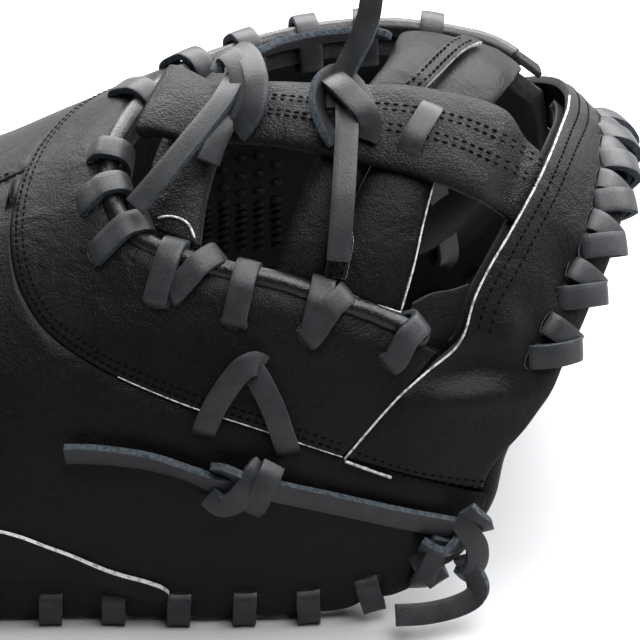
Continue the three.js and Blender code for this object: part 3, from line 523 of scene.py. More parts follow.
thumbWave = waveAlong(thumbRim["from"] / rimThumbEnd, thumbRim["to"] / rimThumbEnd, thumbRim["count"], 1.5)
backLook = {"lift": layers["backTop"], "thickness": 2.2, "material": "shell", "edge": "darkEdge"}
makePanel("thumbShell", route((rimLine, 0, rimThumbEnd)),
          route((ridgeSeam, 0, 1), (seamLine, junction, 0.992)), {
    **backLook, "replaces": ["thumb_shell"], "highGap": 0.2, "highDrop": 0.5, "spacing": 1.6, "lowCut": 3.6},
    thumbWave)
makePanel("handBack", route((ridgeSeam, 0, 1), (seamLine, junction, seamFarPoint + 0.012)),
          route((handFarSeam, 0, 1)), {
    **backLook, "replaces": ["hand_back"], "lowGap": 0.4, "highGap": 0.5, "endGap": 4})
makePanel("indexMiddleShell", route((fingerSeam, 0, 1)),
          route((handFarSeam, 0, 1), (seamLine, seamFarPoint, 0), (capFarLine, 0, 1)), {
    **backLook, "replaces": ["index_middle_shell"], "lowGap": 0.4, "highGap": 0.3, "highDrop": 0.4,
    "spacing": 2.2})
makePanel("ringLittleShell", route((rimLine, 1, rimFingerEnd)), route((fingerSeam, 0, 1)), {
    **backLook, "replaces": ["ring_little_shell"], "highGap": 0.4, "endGap": 3, "spacing": 2.2})
makePanel("crotchPanel", route((seamLine, 0, seamThumbEnd)), route((webLine, 1, 0)), {
    "lift": layers["crotchTop"], "thickness": 1.9, "material": "shell", "edge": "darkEdge",
    "replaces": ["crotch_panel"], "highGap": 1.4, "startGap": 1.5, "endGap": 0.8, "spacing": 1.6,
    "highDrop": 1.2})
makePanel("webCap", route((capLine, 0, 1)), route((rimLine, rimThumbEnd + 0.004, rimFarCorner)), {
    "lift": layers["capTop"], "thickness": 2.4, "material": "shell", "edge": "darkEdge",
    "replaces": ["web_cap"], "startGap": 0.6, "endGap": 0.6, "spacing": 1.5, "bevel": 0.25, "highCut": 5.0})
palmLook = {
    "lift": layers["palmTop"], "material": "palm", "edge": "darkEdge", "slot": "palm_leather", "palm": True}
palmPiece = makePanel("palmLeather",
                      route((rimLine, rimThumbEnd, 0), (heelLine, 0, 1), (rimLine, 1, rimFingerEnd)),
                      route((webLine, 0, 1)), {
    **palmLook, "replaces": ["palm_thumb", "palm_heel", "palm_finger"], "thickness": 4.8, "highGap": 1.4,
    "floor": 5.0, "spacing": 3.2, "bevel": 0.8})
makePanel("capLining", route((capLine, capLine.shareNear(0.838, -61.5), capLine.shareNear(0.943, 16))),
          route((rimLine, rimThumbEnd, rimFingerEnd)), {
    **palmLook, "replaces": ["cap_lining"], "thickness": 2.4, "startGap": 0.6, "endGap": 0.6})
print("leather panels made")


def addTube(bm, points, radii, sides):
    last = len(points) - 1
    grid = gridSpots(bm, last, sides)
    frames = []
    side = None
    for i, point in enumerate(points):
        forward = (points[min(i + 1, last)] - points[max(i - 1, 0)]).normalized()
        if side is None:
            side = forward.orthogonal().normalized()
        side = (side - forward * side.dot(forward)).normalized() if i else side
        frames.append((point, side, side.cross(forward)))
    for vert, u, v in grid:
        i = round(u * last)
        point, side, up = frames[i]
        angle = 2 * math.pi * v
        vert.co = (point + side * math.cos(angle) * radii[i] + up * math.sin(angle) * radii[i]) * mm
    bmesh.ops.remove_doubles(bm, verts=[vert for vert, _, _ in grid], dist=1e-6)


def capEnds(bm):
    bmesh.ops.holes_fill(bm, edges=[edge for edge in bm.edges if edge.is_boundary], sides=0)
    bmesh.ops.recalc_face_normals(bm, faces=bm.faces[:])


rollLook = {"start": 0.02, "length": 0.945, "steps": 260, "sides": 18, "uneven": 0.05}


def makeRoll():
    bm = bmesh.new()
    points, radii = [], []
    for k in range(rollLook["steps"] + 1):
        spot = webLine.at(rollLook["start"] + rollLook["length"] * k / rollLook["steps"])
        points.append(surfaceAt(spot.x, spot.y, layers["rollLift"])[0])
        swell = 1 + rollLook["uneven"] * noise.noise(Vector((k * 0.17, 1.7, 0)))
        radii.append(layers["rollDiameter"] / 2 * swell)
    addTube(bm, points, radii, rollLook["sides"])
    capEnds(bm)
    finishPiece(bm, "webRoll", ["roll"], replaces=["web_roll"])


makeRoll()


# Padded leaves of the web: each row crosses the leaf from its first edge to its second
def makeLeaf(name, rows, look):
    bm = bmesh.new()
    first, second = edgePair(rows)
    grid = gridSpots(bm, math.ceil(max(first.total, second.total) / 1.1), 36)
    for vert, u, v in grid:
        angle = 2 * math.pi * v
        swing, height = math.cos(angle), math.sin(angle)
        across = 0.5 - 0.5 * math.copysign(abs(swing) ** look["square"], swing)
        spot = first.at(u).lerp(second.at(u), across)
        thick = look["thickness"](u) if callable(look["thickness"]) else look["thickness"]
        base = look["base"](u) if callable(look["base"]) else look["base"]
        up = math.copysign(abs(height) ** look["square"], height)
        bulge = look["bulge"] * (1 - (2 * across - 1) ** 2) * math.sin(math.pi * u) ** 0.5
        lift = base + thick * (0.5 + 0.5 * up) + bulge
        lift += 0.35 * noise.noise(Vector((spot.x * 0.09, spot.y * 0.09, look.get("seed", 1.0))))
        vert.co = surfaceAt(spot.x, spot.y, lift)[0] * mm
    bmesh.ops.remove_doubles(bm, verts=[vert for vert, _, _ in grid], dist=1e-6)
    capEnds(bm)
    return finishPiece(bm, name, [look["material"]], replaces=look["replaces"])


def smoothStep(value, low, high):
    part = min(max((value - low) / (high - low), 0.0), 1.0)
    return part * part * (3 - 2 * part)


postRows = [
    (0.568, -12.8, 0.5975, 5.0), (0.6, -15.8, 0.618, 0.5), (0.64, -19.5, 0.645, -5.0),
    (0.7, -24.6, 0.7, -9.4), (0.76, -29.6, 0.76, -12.8), (0.82, -33.6, 0.82, -14.2),
    (0.865, -37.0, 0.865, -15.6), (0.9, -39.5, 0.905, -19.0), (0.92, -41.0, 0.94, -22.0),
]
post = makeLeaf("webPost", postRows, {
    "base": lambda u: 1.35 + 3.2 * (1 - smoothStep(u, 0.02, 0.14)) - 2.3 * smoothStep(u, 0.82, 0.91),
    "thickness": lambda u: 5.2 - 2.8 * smoothStep(u, 0.82, 0.91), "square": 0.42, "bulge": 0.8,
    "material": "web", "replaces": ["web_post"], "seed": 4.0})
narrowBar = makeLeaf("narrowBar", [
    (0.568, -31.4, 0.616, -38.6), (0.567, -25, 0.62, -30), (0.572, -16, 0.63, -20), (0.583, -7, 0.64, -9),
    (0.6, 2, 0.652, 3), (0.626, 11, 0.668, 15)], {
    "base": -3.6, "thickness": 4.6, "square": 0.55, "bulge": 1.2, "material": "web",
    "replaces": ["narrow_bar"]})
wideBarRows = [
    (0.681, -46.9, 0.7245, -50.1, 0.7905, -56.2), (0.69, -40.5, 0.738, -43, 0.806, -47),
    (0.71, -29.5, 0.757, -33.1, 0.823, -33.3), (0.735, -19, 0.785, -22, 0.852, -22),
    (0.765, -9, 0.815, -11, 0.88, -11), (0.784, 1, 0.838, 1, 0.896, 0), (0.797, 17, 0.86, 16, 0.908, 13.5)]
leftLeaf = makeLeaf("wideBarLeft", [(a, b, c, d) for a, b, c, d, _, _ in wideBarRows], {
    "base": -3.6, "thickness": 4.6, "square": 0.5, "bulge": 2.0, "material": "shell",
    "replaces": ["wide_bar_left"], "seed": 2.0})
rightLeaf = makeLeaf("wideBarRight", [(c + 0.001, d, e, f) for _, _, c, d, e, f in wideBarRows], {
    "base": -2.6, "thickness": 3.6, "square": 0.38, "bulge": 1.6, "material": "shell",
    "replaces": ["wide_bar_right"], "seed": 3.0})


def makeStrip(name, rows, look):
    bm = bmesh.new()
    first, second = edgePair(rows)
    for vert, u, v in gridSpots(bm, math.ceil(max(first.total, second.total) / 1.6), 14):
        spot = first.at(u).lerp(second.at(u), v)
        vert.co = surfaceAt(spot.x, spot.y, look["lift"])[0] * mm
    faceOutwards(bm, 20)
    finishPiece(bm, name, ["shell"], look["edge"], replaces=look["replaces"], thickness=look["thickness"],
                bevel=look["bevel"])


makeStrip("wristStrap", [
    (0.02, -72, 0.105, -76), (0.012, -40, 0.112, -42), (0.008, 0, 0.115, 0), (0.012, 40, 0.112, 42),
    (0.02, 72, 0.105, 76)], {
    "lift": 6.2, "thickness": 2.4, "edge": "darkEdge", "bevel": 0.4, "replaces": ["wrist_strap"]})
makeStrip("heelWing", [
    (0.24, -97, 0.23, -80), (0.34, -96, 0.34, -80.5), (0.43, -95, 0.43, -83.7),
    (0.49, -96.2, 0.483, -89.4), (0.535, -99.3, 0.53, -94.9), (0.562, -101.8, 0.566, -98.0),
    (0.573, -102.4, 0.58, -99.4), (0.58, -102.4, 0.5855, -100.6)], {
    "lift": 5.4, "thickness": 1.7, "edge": "rawEdge", "bevel": 0.2, "replaces": ["heel_wing"]})
print("web and straps made")


# Laces
def stationsThrough(points, sides, pieces):
    # sides give the lace's width direction at each point
    path = smoothThrough(points, pieces)
    hints = smoothThrough(sides, pieces)
    stations = []
    for i, point in enumerate(path):
        forward = (path[min(i + 1, len(path) - 1)] - path[max(i - 1, 0)]).normalized()
        side = (hints[i] - forward * hints[i].dot(forward)).normalized()
        stations.append((point, side, side.cross(forward)))
    return stations


def addStrap(bm, stations, width, crown=0.12):
    last = len(stations) - 1
    for vert, u, v in gridSpots(bm, last, 4):
        point, side, normal = stations[round(u * last)]
        vert.co = (point + side * (v - 0.5) * width + normal * crown * (1 - (2 * v - 1) ** 2)) * mm


def strapRows(rows, depthAt=None):
    # rows are along, turn, lift and tilt about the lace's own run
    points, normals = [], []
    for along, turn, lift, *tilt in rows:
        spot = chartSpot(along, turn)
        point, normal = surfaceAt(spot.x, spot.y, lift, depthAt)
        points.append(point)
        normals.append((normal, tilt[0] if tilt else 0.0))
    sides = []
    last = len(points) - 1
    for i, (normal, tilt) in enumerate(normals):
        forward = (points[min(i + 1, last)] - points[max(i - 1, 0)]).normalized()
        side = forward.cross(normal).normalized()
        sides.append(Quaternion(forward, math.radians(tilt)) @ side)
    return points, sides


def addLace(bm, rows, pieces=7, width=None, depthAt=None, crown=0.12):
    points, sides = strapRows(rows, depthAt)
    addStrap(bm, stationsThrough(points, sides, pieces), width or laceLook["width"], crown)


def finishLace(bm, name, node):
    finishPiece(bm, name, ["lace"], "laceEdge", [node], laceLook["thickness"], 0.0, 0.3)


def edgeFrame(line, share):
    small = 0.004
    spot = line.at(share)
    forward = (line.at(share + small) - line.at(share - small)).normalized()
    edge, normal = surfaceAt(spot.x, spot.y)
    ahead = surfaceAt(spot.x + forward.x, spot.y + forward.y)[0] - edge
    ahead = (ahead - normal * ahead.dot(normal)).normalized()
    into = normal.cross(ahead)
    alongStep = surfaceAt(spot.x + 1, spot.y)[0] - edge
    turnStep = surfaceAt(spot.x, spot.y + 1)[0] - edge
    aa, at, tt = alongStep.dot(alongStep), alongStep.dot(turnStep), turnStep.dot(turnStep)
    a, t = into.dot(alongStep), into.dot(turnStep)
    inSpot = Vector((a * tt - t * at, t * aa - a * at)) / (aa * tt - at * at)

    def place(reach, slide, lift):
        if reach > 0:
            there = spot + inSpot * reach + forward * slide
            return surfaceAt(there.x, there.y, lift)[0]
        return edge + ahead * slide + into * reach + normal * lift

    return {"place": place, "ahead": ahead, "normal": normal, "spot": spot, "inSpot": inSpot,
            "forward": forward}


def rimBend(top, hole, slant):
    # the lace's path round the rim, as reach in from the edge, slide along it and lift
    under = layers["palmUnder"]
    rise = 1.35
    rows = [
        (hole + 0.9, top - 2.6), (hole + 0.5, top - 0.2), (hole - 1.4, top + rise), (1.2, top + rise + 0.1),
        (-1.7, top + 0.5), (-2.9, (top + under) / 2), (-1.7, under - 0.5), (1.2, under - rise),
        (hole - 1.4, under - rise), (hole + 0.5, under + 0.2), (hole + 0.9, under + 2.6),
    ]
    last = len(rows) - 1
    return [(reach, slant * (0.5 - k / last), lift) for k, (reach, lift) in enumerate(rows)]


def addWrap(bm, line, share, bend):
    spot = edgeFrame(line, share)
    points = [spot["place"](*row) for row in bend]
    for point in points:
        point.z = max(point.z, laceLook["thickness"] / 2 + 0.1)
    addStrap(bm, stationsThrough(points, [spot["ahead"]] * len(points), 5), laceLook["width"])


def edgeLace(name, rim, hole, slant, node):
    bm = bmesh.new()
    holes = []
    for i in range(rim["count"]):
        share = rim["from"] + (rim["to"] - rim["from"]) * (i + 0.5) / rim["count"]
        jitter = 0.5 * noise.noise(Vector((i * 1.7, 5.2, hole)))
        addWrap(bm, rimLine, share, rimBend(layers["backTop"], hole + jitter, slant))
        holes.append((share, hole + jitter, slant / 2, layers["backTop"]))
    finishLace(bm, name, node)
    return holes


punched = edgeLace("thumbRimLace", thumbRim, 8.5, 2.5, "thumb_rim_lace")
punched += edgeLace("fingerRimLace", fingerRim, 8.5, 2.5, "finger_rim_lace")


def capLacing():
    # pairs that meet at the edge: the first lies straight in, the second slants over it
    bm = bmesh.new()
    spots = []
    start = rimLine.shareNear(0.9445, -59.9)
    count = int((rimFarCorner - start) * rimLine.total / laceLook["capPitch"])
    top, under = layers["capTop"], layers["palmUnder"]
    straight = [
        (10.4, 1.8, top - 2.6), (10.2, 1.6, top - 0.1), (8.4, 1.4, top + 1.2), (5.2, 1.1, top + 1.4),
        (1.6, 0.8, top + 0.8), (-1.0, 0.6, top - 0.8), (-1.8, 0.4, -0.6), (-0.8, 0.2, under + 0.4),
        (1.6, 0.0, under - 1.3), (5.6, -3.0, under - 1.2), (8.6, -5.0, under + 1.0)]
    slanting = [
        (10.6, -8.8, top - 2.6), (10.3, -8.2, top - 0.1), (8.4, -6.8, top + 1.5), (5.0, -4.4, top + 2.7),
        (1.4, -1.8, top + 2.5), (-1.4, 0.2, top + 0.9), (-2.6, 1.2, -0.8), (-1.6, 1.2, under - 1.4),
        (1.4, 0.6, under - 3.2), (5.6, -0.4, under - 2.8), (8.8, -1.4, under - 0.4)]
    for i in range(count + 1):
        share = start + i * laceLook["capPitch"] / rimLine.total
        for bend in (straight, slanting):
            spot = edgeFrame(rimLine, share)
            points = [spot["place"](*row) for row in bend]
            run = (points[4] - points[1]).normalized()
            side = run.cross(spot["normal"]).normalized()
            addStrap(bm, stationsThrough(points, [side] * len(points), 5), laceLook["width"])
        spots += [(share, 10.3, -8.0, top), (share, 10.2, 1.6, top)]
    finishLace(bm, "capLace", "cap_lace")
    return spots


punched += capLacing()

# Laces round the rolled edge: hole, top of the roll and inner side, each as along and turn
rollWraps = {
    "webLaceThumb": ("web_lace_thumb", [
        ((0.7821, -63.3), (0.7978, -58.9), (0.818, -58.2)),
        ((0.7103, -57.9), (0.733, -53.4), (0.7545, -52.2)),
        ((0.7155, -56.6), (0.7214, -51.9), (0.7255, -49.2)),
        ((0.6476, -53.4), (0.6555, -47.7), (0.6615, -42.9)),
        ((0.5943, -46.3), (0.6215, -42.2), (0.642, -41.0)),
        ((0.5804, -46.9), (0.5926, -39.8), (0.5985, -34.2)),
    ]),
    "webLaceCrotch": ("web_lace_crotch", [
        ((0.5266, -35.1), (0.5605, -31.4), (0.579, -32.6)),
        ((0.5141, -23.2), (0.54, -21.0), (0.558, -22.0)),
        ((0.5224, -10.4), (0.54, -11.8), (0.564, -13.6)),
    ]),
    "webLaceFinger": ("web_lace_finger", [
        ((0.54, 12.5), (0.564, 6.5), (0.58, 2.0)),
        ((0.585, 22.0), (0.608, 16.0), (0.625, 10.5)),
        ((0.645, 26.5), (0.655, 20.0), (0.665, 14.5)),
        ((0.705, 29.0), (0.71, 22.0), (0.715, 16.0)),
        ((0.765, 30.0), (0.765, 22.5), (0.765, 16.5)),
        ((0.825, 30.0), (0.825, 22.5), (0.825, 16.5)),
    ]),
}
holeRows = []


def rollLacing(name, node, wraps):
    bm = bmesh.new()
    top = layers["crotchTop"]
    roll = layers["rollLift"]
    reach = layers["rollDiameter"] / 2 + laceLook["thickness"] / 2 + 0.1
    for hole, over, inside in wraps:
        holeSpot, overSpot, inSpot = chartSpot(*hole), chartSpot(*over), chartSpot(*inside)
        run = (inSpot - holeSpot).normalized()
        crossing = min((webLine.at(k / 400) for k in range(401)), key=lambda spot: (spot - overSpot).length)
        crossing = crossing.lerp(overSpot, 0.5)
        rows = [
            (holeSpot - run * 0.8, top - 3.0),
            (holeSpot - run * 0.3, top - 0.2),
            (holeSpot + run * 1.6, top + 1.2),
            (holeSpot.lerp(crossing, 0.6), (top + roll + reach) / 2 + 1.1),
            (crossing - run * 0.5, roll + reach + 0.4),
            (crossing + run * (reach * 0.75), roll + reach * 0.62),
            (crossing + run * reach, roll - 0.6),
            (crossing + run * (reach * 0.8), roll - reach * 0.9),
            (crossing - run * 0.2, layers["palmUnder"] - 1.6),
            (holeSpot.lerp(crossing, 0.4), layers["palmUnder"] - 1.5),
            (holeSpot, layers["palmUnder"] - 0.6),
        ]
        points = [surfaceAt(spot.x, spot.y, lift)[0] for spot, lift in rows]
        edge, normal = surfaceAt(crossing.x, crossing.y)
        forward = surfaceAt(crossing.x + run.x, crossing.y + run.y)[0] - edge
        side = forward.cross(normal).normalized()
        addStrap(bm, stationsThrough(points, [side] * len(points), 5), laceLook["width"])
        holeRows.append((holeSpot, run, top))
    finishLace(bm, name, node)


for name, (node, wraps) in rollWraps.items():
    rollLacing(name, node, wraps)

# Single laces and knots: node, width, and strands with rows of along, turn, lift and tilt
laceStrands = {
    "crossLace": ("cross_lace", 6, [
        [(0.8175, -19.2, 5), (0.8165, -20.2, 7.8), (0.811, -22.6, 8.9), (0.803, -25.8, 8.8),
         (0.7985, -27.8, 7.4), (0.797, -28.8, 4.8)]
    ]),
    "veeLace": ("vee_lace", 6.2, [
        [(0.6195, -71, 2.2), (0.621, -69.6, 4.6), (0.63, -66.2, 5.8), (0.643, -62.9, 6.8),
         (0.655, -60.8, 7.3), (0.665, -60.4, 6.4), (0.67, -61.2, 3.8)],
        [(0.656, -60.6, 2.6), (0.664, -61.8, 4.6), (0.674, -65.2, 5.4), (0.6822, -68.8, 5.6),
         (0.689, -72.6, 5.4), (0.6925, -74.8, 4.4), (0.6935, -76, 2)]
    ]),
    "longLace": ("long_lace", 6, [
        [(0.4975, -70.2, 6.5, 32), (0.5295, -71.4, 6.2, 32), (0.5736, -73.8, 6, 35), (0.6074, -76.6, 6, 40),
         (0.631, -79, 6, 25), (0.65, -80, 6)],
        [(0.666, -79.8, 6), (0.6837, -81.3, 6.4, 8), (0.7292, -84.4, 5.4, 10), (0.7914, -88, 5.6, 10),
         (0.84, -90.8, 7, 10)],
        [(0.623, -80.6, 6.4), (0.633, -82, 8), (0.645, -81.5, 9), (0.656, -79.2, 9.2), (0.664, -77.4, 8),
         (0.669, -77, 5.6)],
        [(0.658, -84, 6.2), (0.664, -82.4, 8.6), (0.67, -79.8, 9.8), (0.676, -77.8, 9), (0.68, -76.8, 6.6)],
        [(0.629, -76.4, 6, 50), (0.638, -76.6, 7.2, 50), (0.648, -77.9, 7.4, 40), (0.656, -79.2, 7, 30)]
    ]),
    "firstKnot": ("first_knot", 6, [
        [(0.569, -30.2, 10), (0.5933, -26.2, 11.2), (0.619, -21.3, 12.2), (0.643, -16.2, 12.4),
         (0.653, -12.6, 12), (0.658, -8.6, 10.6), (0.66, -5.5, 8)],
        [(0.649, -0.8, 8), (0.6556, -1.4, 10.8), (0.664, -3.8, 12.6), (0.672, -8.2, 13.6),
         (0.676, -13.2, 13.6), (0.673, -17.2, 11.8), (0.664, -19.4, 9.4), (0.655, -20.2, 7.4)],
        [(0.64, -5.2, 10, -20), (0.647, -4, 12.6, -10), (0.656, -5.6, 13.6), (0.662, -9.4, 13),
         (0.662, -14, 11), (0.656, -18.2, 8.4)],
        [(0.629, -24.6, 7.4, 45), (0.636, -21.6, 8.6, 45), (0.644, -18.6, 9, 35), (0.652, -15.8, 8.4, 20)]
    ]),
    "secondKnot": ("second_knot", 6, [
        [(0.7372, -46.4, 11), (0.7424, -37.4, 12.4), (0.7462, -29.2, 12.2), (0.748, -24, 11.6),
         (0.748, -20, 10), (0.747, -17, 8.4)],
        [(0.74, -20, 9), (0.742, -17, 11), (0.7472, -14.6, 13.4), (0.755, -12.8, 16.4),
         (0.764, -11, 20.4, 10), (0.77, -9.3, 25, 15), (0.7723, -8, 28.6, 15)],
        [(0.733, -13.6, 10.4), (0.7376, -15.4, 13), (0.745, -18, 14.8), (0.7538, -20.6, 14.8),
         (0.763, -22.8, 13.4), (0.767, -24.6, 10.6), (0.763, -26.2, 8)],
        [(0.738, -26.6, 8.4, 50), (0.73, -24, 9.4, 60), (0.7235, -20, 10.6, 65), (0.7265, -16.2, 11.4, 60),
         (0.737, -14.2, 12.2, 40), (0.748, -15.6, 12.4, 15), (0.759, -19.4, 11.6), (0.764, -23.4, 9.6),
         (0.761, -26, 7.6)]
    ]),
    "farStrand": ("far_strand", 5.6, [
        [(0.66, 4, 4, -30), (0.68, 7, 3.6, -35), (0.705, 8.5, 3.4, -40), (0.735, 8.5, 3.4, -40),
         (0.765, 7.6, 3.4, -35), (0.785, 6, 3, -30)]
    ]),
    "tipKnot": ("tip_knot", 6, [
        [(0.8092, -102.6, 3), (0.811, -100.6, 5), (0.815, -97.6, 6.2), (0.82, -94.4, 7), (0.826, -92, 7.4)],
        [(0.808, -92.6, 6.6, 40), (0.816, -93.3, 8.4, 45), (0.826, -93.8, 8.8, 40), (0.838, -92.6, 8.6, 20),
         (0.844, -91.4, 8)],
        [(0.843, -87, 8.2, 35), (0.848, -88, 9.2, 35), (0.855, -89.4, 9.6, 25), (0.858, -90.8, 8.6, 15)],
        [(0.838, -88.6, 7, 10), (0.844, -90.4, 9.6, 10), (0.85, -92.8, 10.8), (0.851, -95.8, 10.6),
         (0.846, -98.4, 9.4), (0.84, -99.2, 7.6)],
        [(0.842, -95.4, 8.6, 30), (0.8489, -98, 10, 40), (0.853, -100.6, 11.4, 45),
         (0.847, -102.3, 12.2, 45), (0.83, -103.3, 12.4, 45), (0.8085, -103.7, 12.2, 45),
         (0.786, -103.6, 12, 45)]
    ]),
}
for name, (node, width, strands) in laceStrands.items():
    bm = bmesh.new()
    for rows in strands:
        addLace(bm, rows, 7, width)
    finishLace(bm, name, node)


def wallLace():
    bm = bmesh.new()
    under = layers["palmUnder"]
    addLace(bm, [(0.825, 66.5, under + 1.5), (0.826, 68.5, under - 1.2), (0.838, 81, under - 2.2),
                 (0.848, 92, under - 1.2), (0.849, 94, under + 1.5)], depthAt=palmDepth)
    finishLace(bm, "wallLace", "wall_lace")


wallLace()
print("laces made")


# Punched holes that the laces go into: a pale ring and a dark core, as length, width and lift
holeLook = {"past": 0.3, "ring": (7.5, 3.7, 0.06), "core": (6.9, 3.1, 0.1)}


def addHole(bm, point, normal, run, size):
    length, width, lift = size
    side = normal.cross(run).normalized()
    turn = Matrix((side, normal.cross(side), normal)).transposed()
    made = bmesh.ops.create_circle(bm, cap_ends=True, segments=20, radius=0.5)["verts"]
    for vert in made:
        flat = Vector((vert.co.x * length, vert.co.y * width, 0))
        vert.co = (point + turn @ flat + normal * lift) * mm
    return made


def punchedHoles():
    bm = bmesh.new()
    for share, reach, slide, top in punched:
        spot = edgeFrame(rimLine, share)
        there = spot["spot"] + spot["inSpot"] * (reach + holeLook["past"]) + spot["forward"] * slide
        holeRows.append((there, -spot["inSpot"].normalized(), top))
    for there, run, top in holeRows:
        point, normal = surfaceAt(there.x, there.y, top)
        forward = (surfaceAt(there.x + run.x, there.y + run.y, top)[0] - point).normalized()
        ring = addHole(bm, point, normal, forward, holeLook["ring"])
        addHole(bm, point, normal, forward, holeLook["core"])
        for face in {face for vert in ring for face in vert.link_faces}:
            face.material_index = 1
    bmesh.ops.recalc_face_normals(bm, faces=bm.faces[:])
    finishPiece(bm, "lacingHoles", ["hole", "laceEdge"])


punchedHoles()


# Stitches, small beads of thread laid end to end
stitchLook = {"pitch": 2.25, "half": (0.825, 0.4, 0.25), "sink": 0.05, "block": 40}


def addBead(bm, point, forward, normal, half, rounds):
    # a small stretched ball, by its half length, width and height
    side = normal.cross(forward).normalized()
    turn = Matrix((forward, side, normal)).transposed().to_4x4()
    matrix = Matrix.Scale(mm, 4) @ Matrix.Translation(point) @ turn @ Matrix.Diagonal((*half, 1))
    bmesh.ops.create_uvsphere(bm, u_segments=rounds[0], v_segments=rounds[1], radius=1.0, matrix=matrix)


def stitchLine(bm, spots, lift):
    # built in blocks, because a long bmesh slows every new stitch down
    line = ChartLine(spots)
    count = max(2, round(line.total / stitchLook["pitch"]))
    for first in range(0, count, stitchLook["block"]):
        block = bmesh.new()
        for i in range(first, min(first + stitchLook["block"], count)):
            spot, ahead = line.at((i + 0.5) / count), line.at((i + 0.52) / count + 0.001)
            point, normal = surfaceAt(spot.x, spot.y, lift)
            forward = surfaceAt(ahead.x, ahead.y, lift)[0] - point
            if forward.length > 1e-4:
                addBead(block, point, forward.normalized(), normal, stitchLook["half"], (6, 4))
        mergeInto(bm, block)


def offsetSpots(line, start, end, reach, count=120):
    spots = []
    for k in range(count + 1):
        spot = edgeFrame(line, start + (end - start) * k / count)
        spots.append(spot["spot"] + spot["inSpot"] * reach)
    return spots


def leafSpots(rows, across, start, end):
    first, second = edgePair(rows)
    shares = [start + (end - start) * k / 80 for k in range(81)]
    return [first.at(share).lerp(second.at(share), across) for share in shares]


def chartRun(*rows):
    return smoothThrough([chartSpot(along, turn) for along, turn in rows], 20)


capBaseLine = lineThrough([(0.742, -78.6), (0.7732, -81.2), (0.8073, -83.6), (0.8507, -86.0), (0.872, -87.0)])


def makeStitches():
    bm = bmesh.new()
    sink = stitchLook["sink"]
    for reach in (1.8, 3.7):
        stitchLine(bm, offsetSpots(seamLine, 0.02, seamThumbEnd - 0.005, reach), layers["crotchTop"] - 0.08)
        stitchLine(bm, offsetSpots(capBaseLine, 0.03, 0.92, reach + 0.6, 50), layers["capTop"] - sink)
    for reach in (3.2, 6.4):
        stitchLine(bm, offsetSpots(capLine, 0.205, 0.93, -reach), layers["capTop"] - sink)
    for across in (0.36, 0.43, 0.6, 0.67):
        stitchLine(bm, leafSpots(postRows, across, 0.2, 0.93), layers["postTop"] + 0.75)
    for offset in (1.6, -1.6):
        for seam in (ridgeSeam, handFarSeam, fingerSeam):
            stitchLine(bm, offsetSpots(seam, 0.02, 0.97, offset), layers["backTop"] - sink)
    for shift in (-0.0048, 0.0048):
        stitchLine(bm, chartRun((0.802 + shift, -13.0), (0.815 + shift, -9.3), (0.84 + shift, 1.5),
                                (0.852 + shift, 6.5)), 4.35)
    stitchLine(bm, chartRun((0.76, -31.5), (0.748, -37.5), (0.738, -43.0)), 2.3)
    for shift in (0.0, 0.0105):
        stitchLine(bm, chartRun((0.7375 + shift, -43.2), (0.73 + shift, -48.8)), 3.3)
    finishPiece(bm, "seamStitches", ["thread"])


makeStitches()
print("stitches made")


# Small bands, pale cut edges and the rubbed dots of the lining
def makeBand(name, strands, width, thickness):
    bm = bmesh.new()
    for rows in strands:
        addLace(bm, rows, 8, width, crown=0.25)
    finishPiece(bm, name, ["shell"], "rawEdge", (), thickness, 0.0, 0.2)


makeBand("leafSeamBand", [
    [(0.8, -14.5, 2.6), (0.806, -12.3, 3.2), (0.815, -9.3, 3.5), (0.84, 1.5, 3.5), (0.854, 7.4, 3.3),
     (0.86, 10.0, 2.9)]], 5.4, 1.3)
makeBand("leafSeamTab", [[(0.7395, -40.5, 1.6), (0.7415, -43.2, 2.4), (0.735, -48.8, 2.5)]], 5.6, 1.2)


def paleEdges():
    bm = bmesh.new()
    lines = [  # spots, lift and radius of each pale cut edge
        (offsetSpots(seamLine, seamLine.shareNear(0.545, -58.8), seamThumbEnd - 0.002, 0.15, 120),
         layers["crotchTop"] - 0.4, 0.2),
        (offsetSpots(capLine, 0.0, 0.68, -0.1, 120), layers["capTop"] - 0.5, 0.32),
        (offsetSpots(capBaseLine, 0.0, 0.32, 0.75, 40), layers["capTop"] - 0.4, 0.42),
        (chartRun((0.8226, -32.6), (0.812, -41.0), (0.804, -48.0), (0.7925, -55.6)), 1.2, 0.24),
        (chartRun((0.7925, -55.6), (0.765, -53.6), (0.743, -51.4), (0.727, -50.0)), 1.3, 0.24),
        (chartRun((0.5806, -31.0), (0.5885, -31.1), (0.599, -32.2), (0.6077, -34.1), (0.613, -37.0)),
         1.9, 0.34),
    ]
    for spots, lift, radius in lines:
        edge = ChartLine(spots)
        count = max(8, round(edge.total / 1.2))
        points = [surfaceAt(*edge.at(k / count), lift)[0] for k in range(count + 1)]
        radii = [radius * (1 + 0.35 * noise.noise(Vector((k * 0.9, lift, 2.0)))) for k in range(count + 1)]
        part = bmesh.new()
        addTube(part, points, radii, 8)
        capEnds(part)
        mergeInto(bm, part)
    finishPiece(bm, "paleCutEdges", ["rawEdge"])


paleEdges()


# The palm leather rolls out between the cap and the thumb shell
tipRollLook = {"before": 0.022, "length": 0.06, "inset": 2.6, "lift": -0.6, "thin": 0.8, "swell": 2.9}


def thumbTipRoll():
    bm = bmesh.new()
    points, radii = [], []
    for k in range(61):
        spot = edgeFrame(rimLine, rimThumbEnd - tipRollLook["before"] + tipRollLook["length"] * k / 60)
        points.append(spot["place"](tipRollLook["inset"], 0.0, tipRollLook["lift"]))
        radii.append(tipRollLook["thin"] + tipRollLook["swell"] * math.sin(math.pi * k / 60) ** 0.6)
    addTube(bm, points, radii, 16)
    capEnds(bm)
    finishPiece(bm, "thumbTipRoll", ["palm"])


thumbTipRoll()


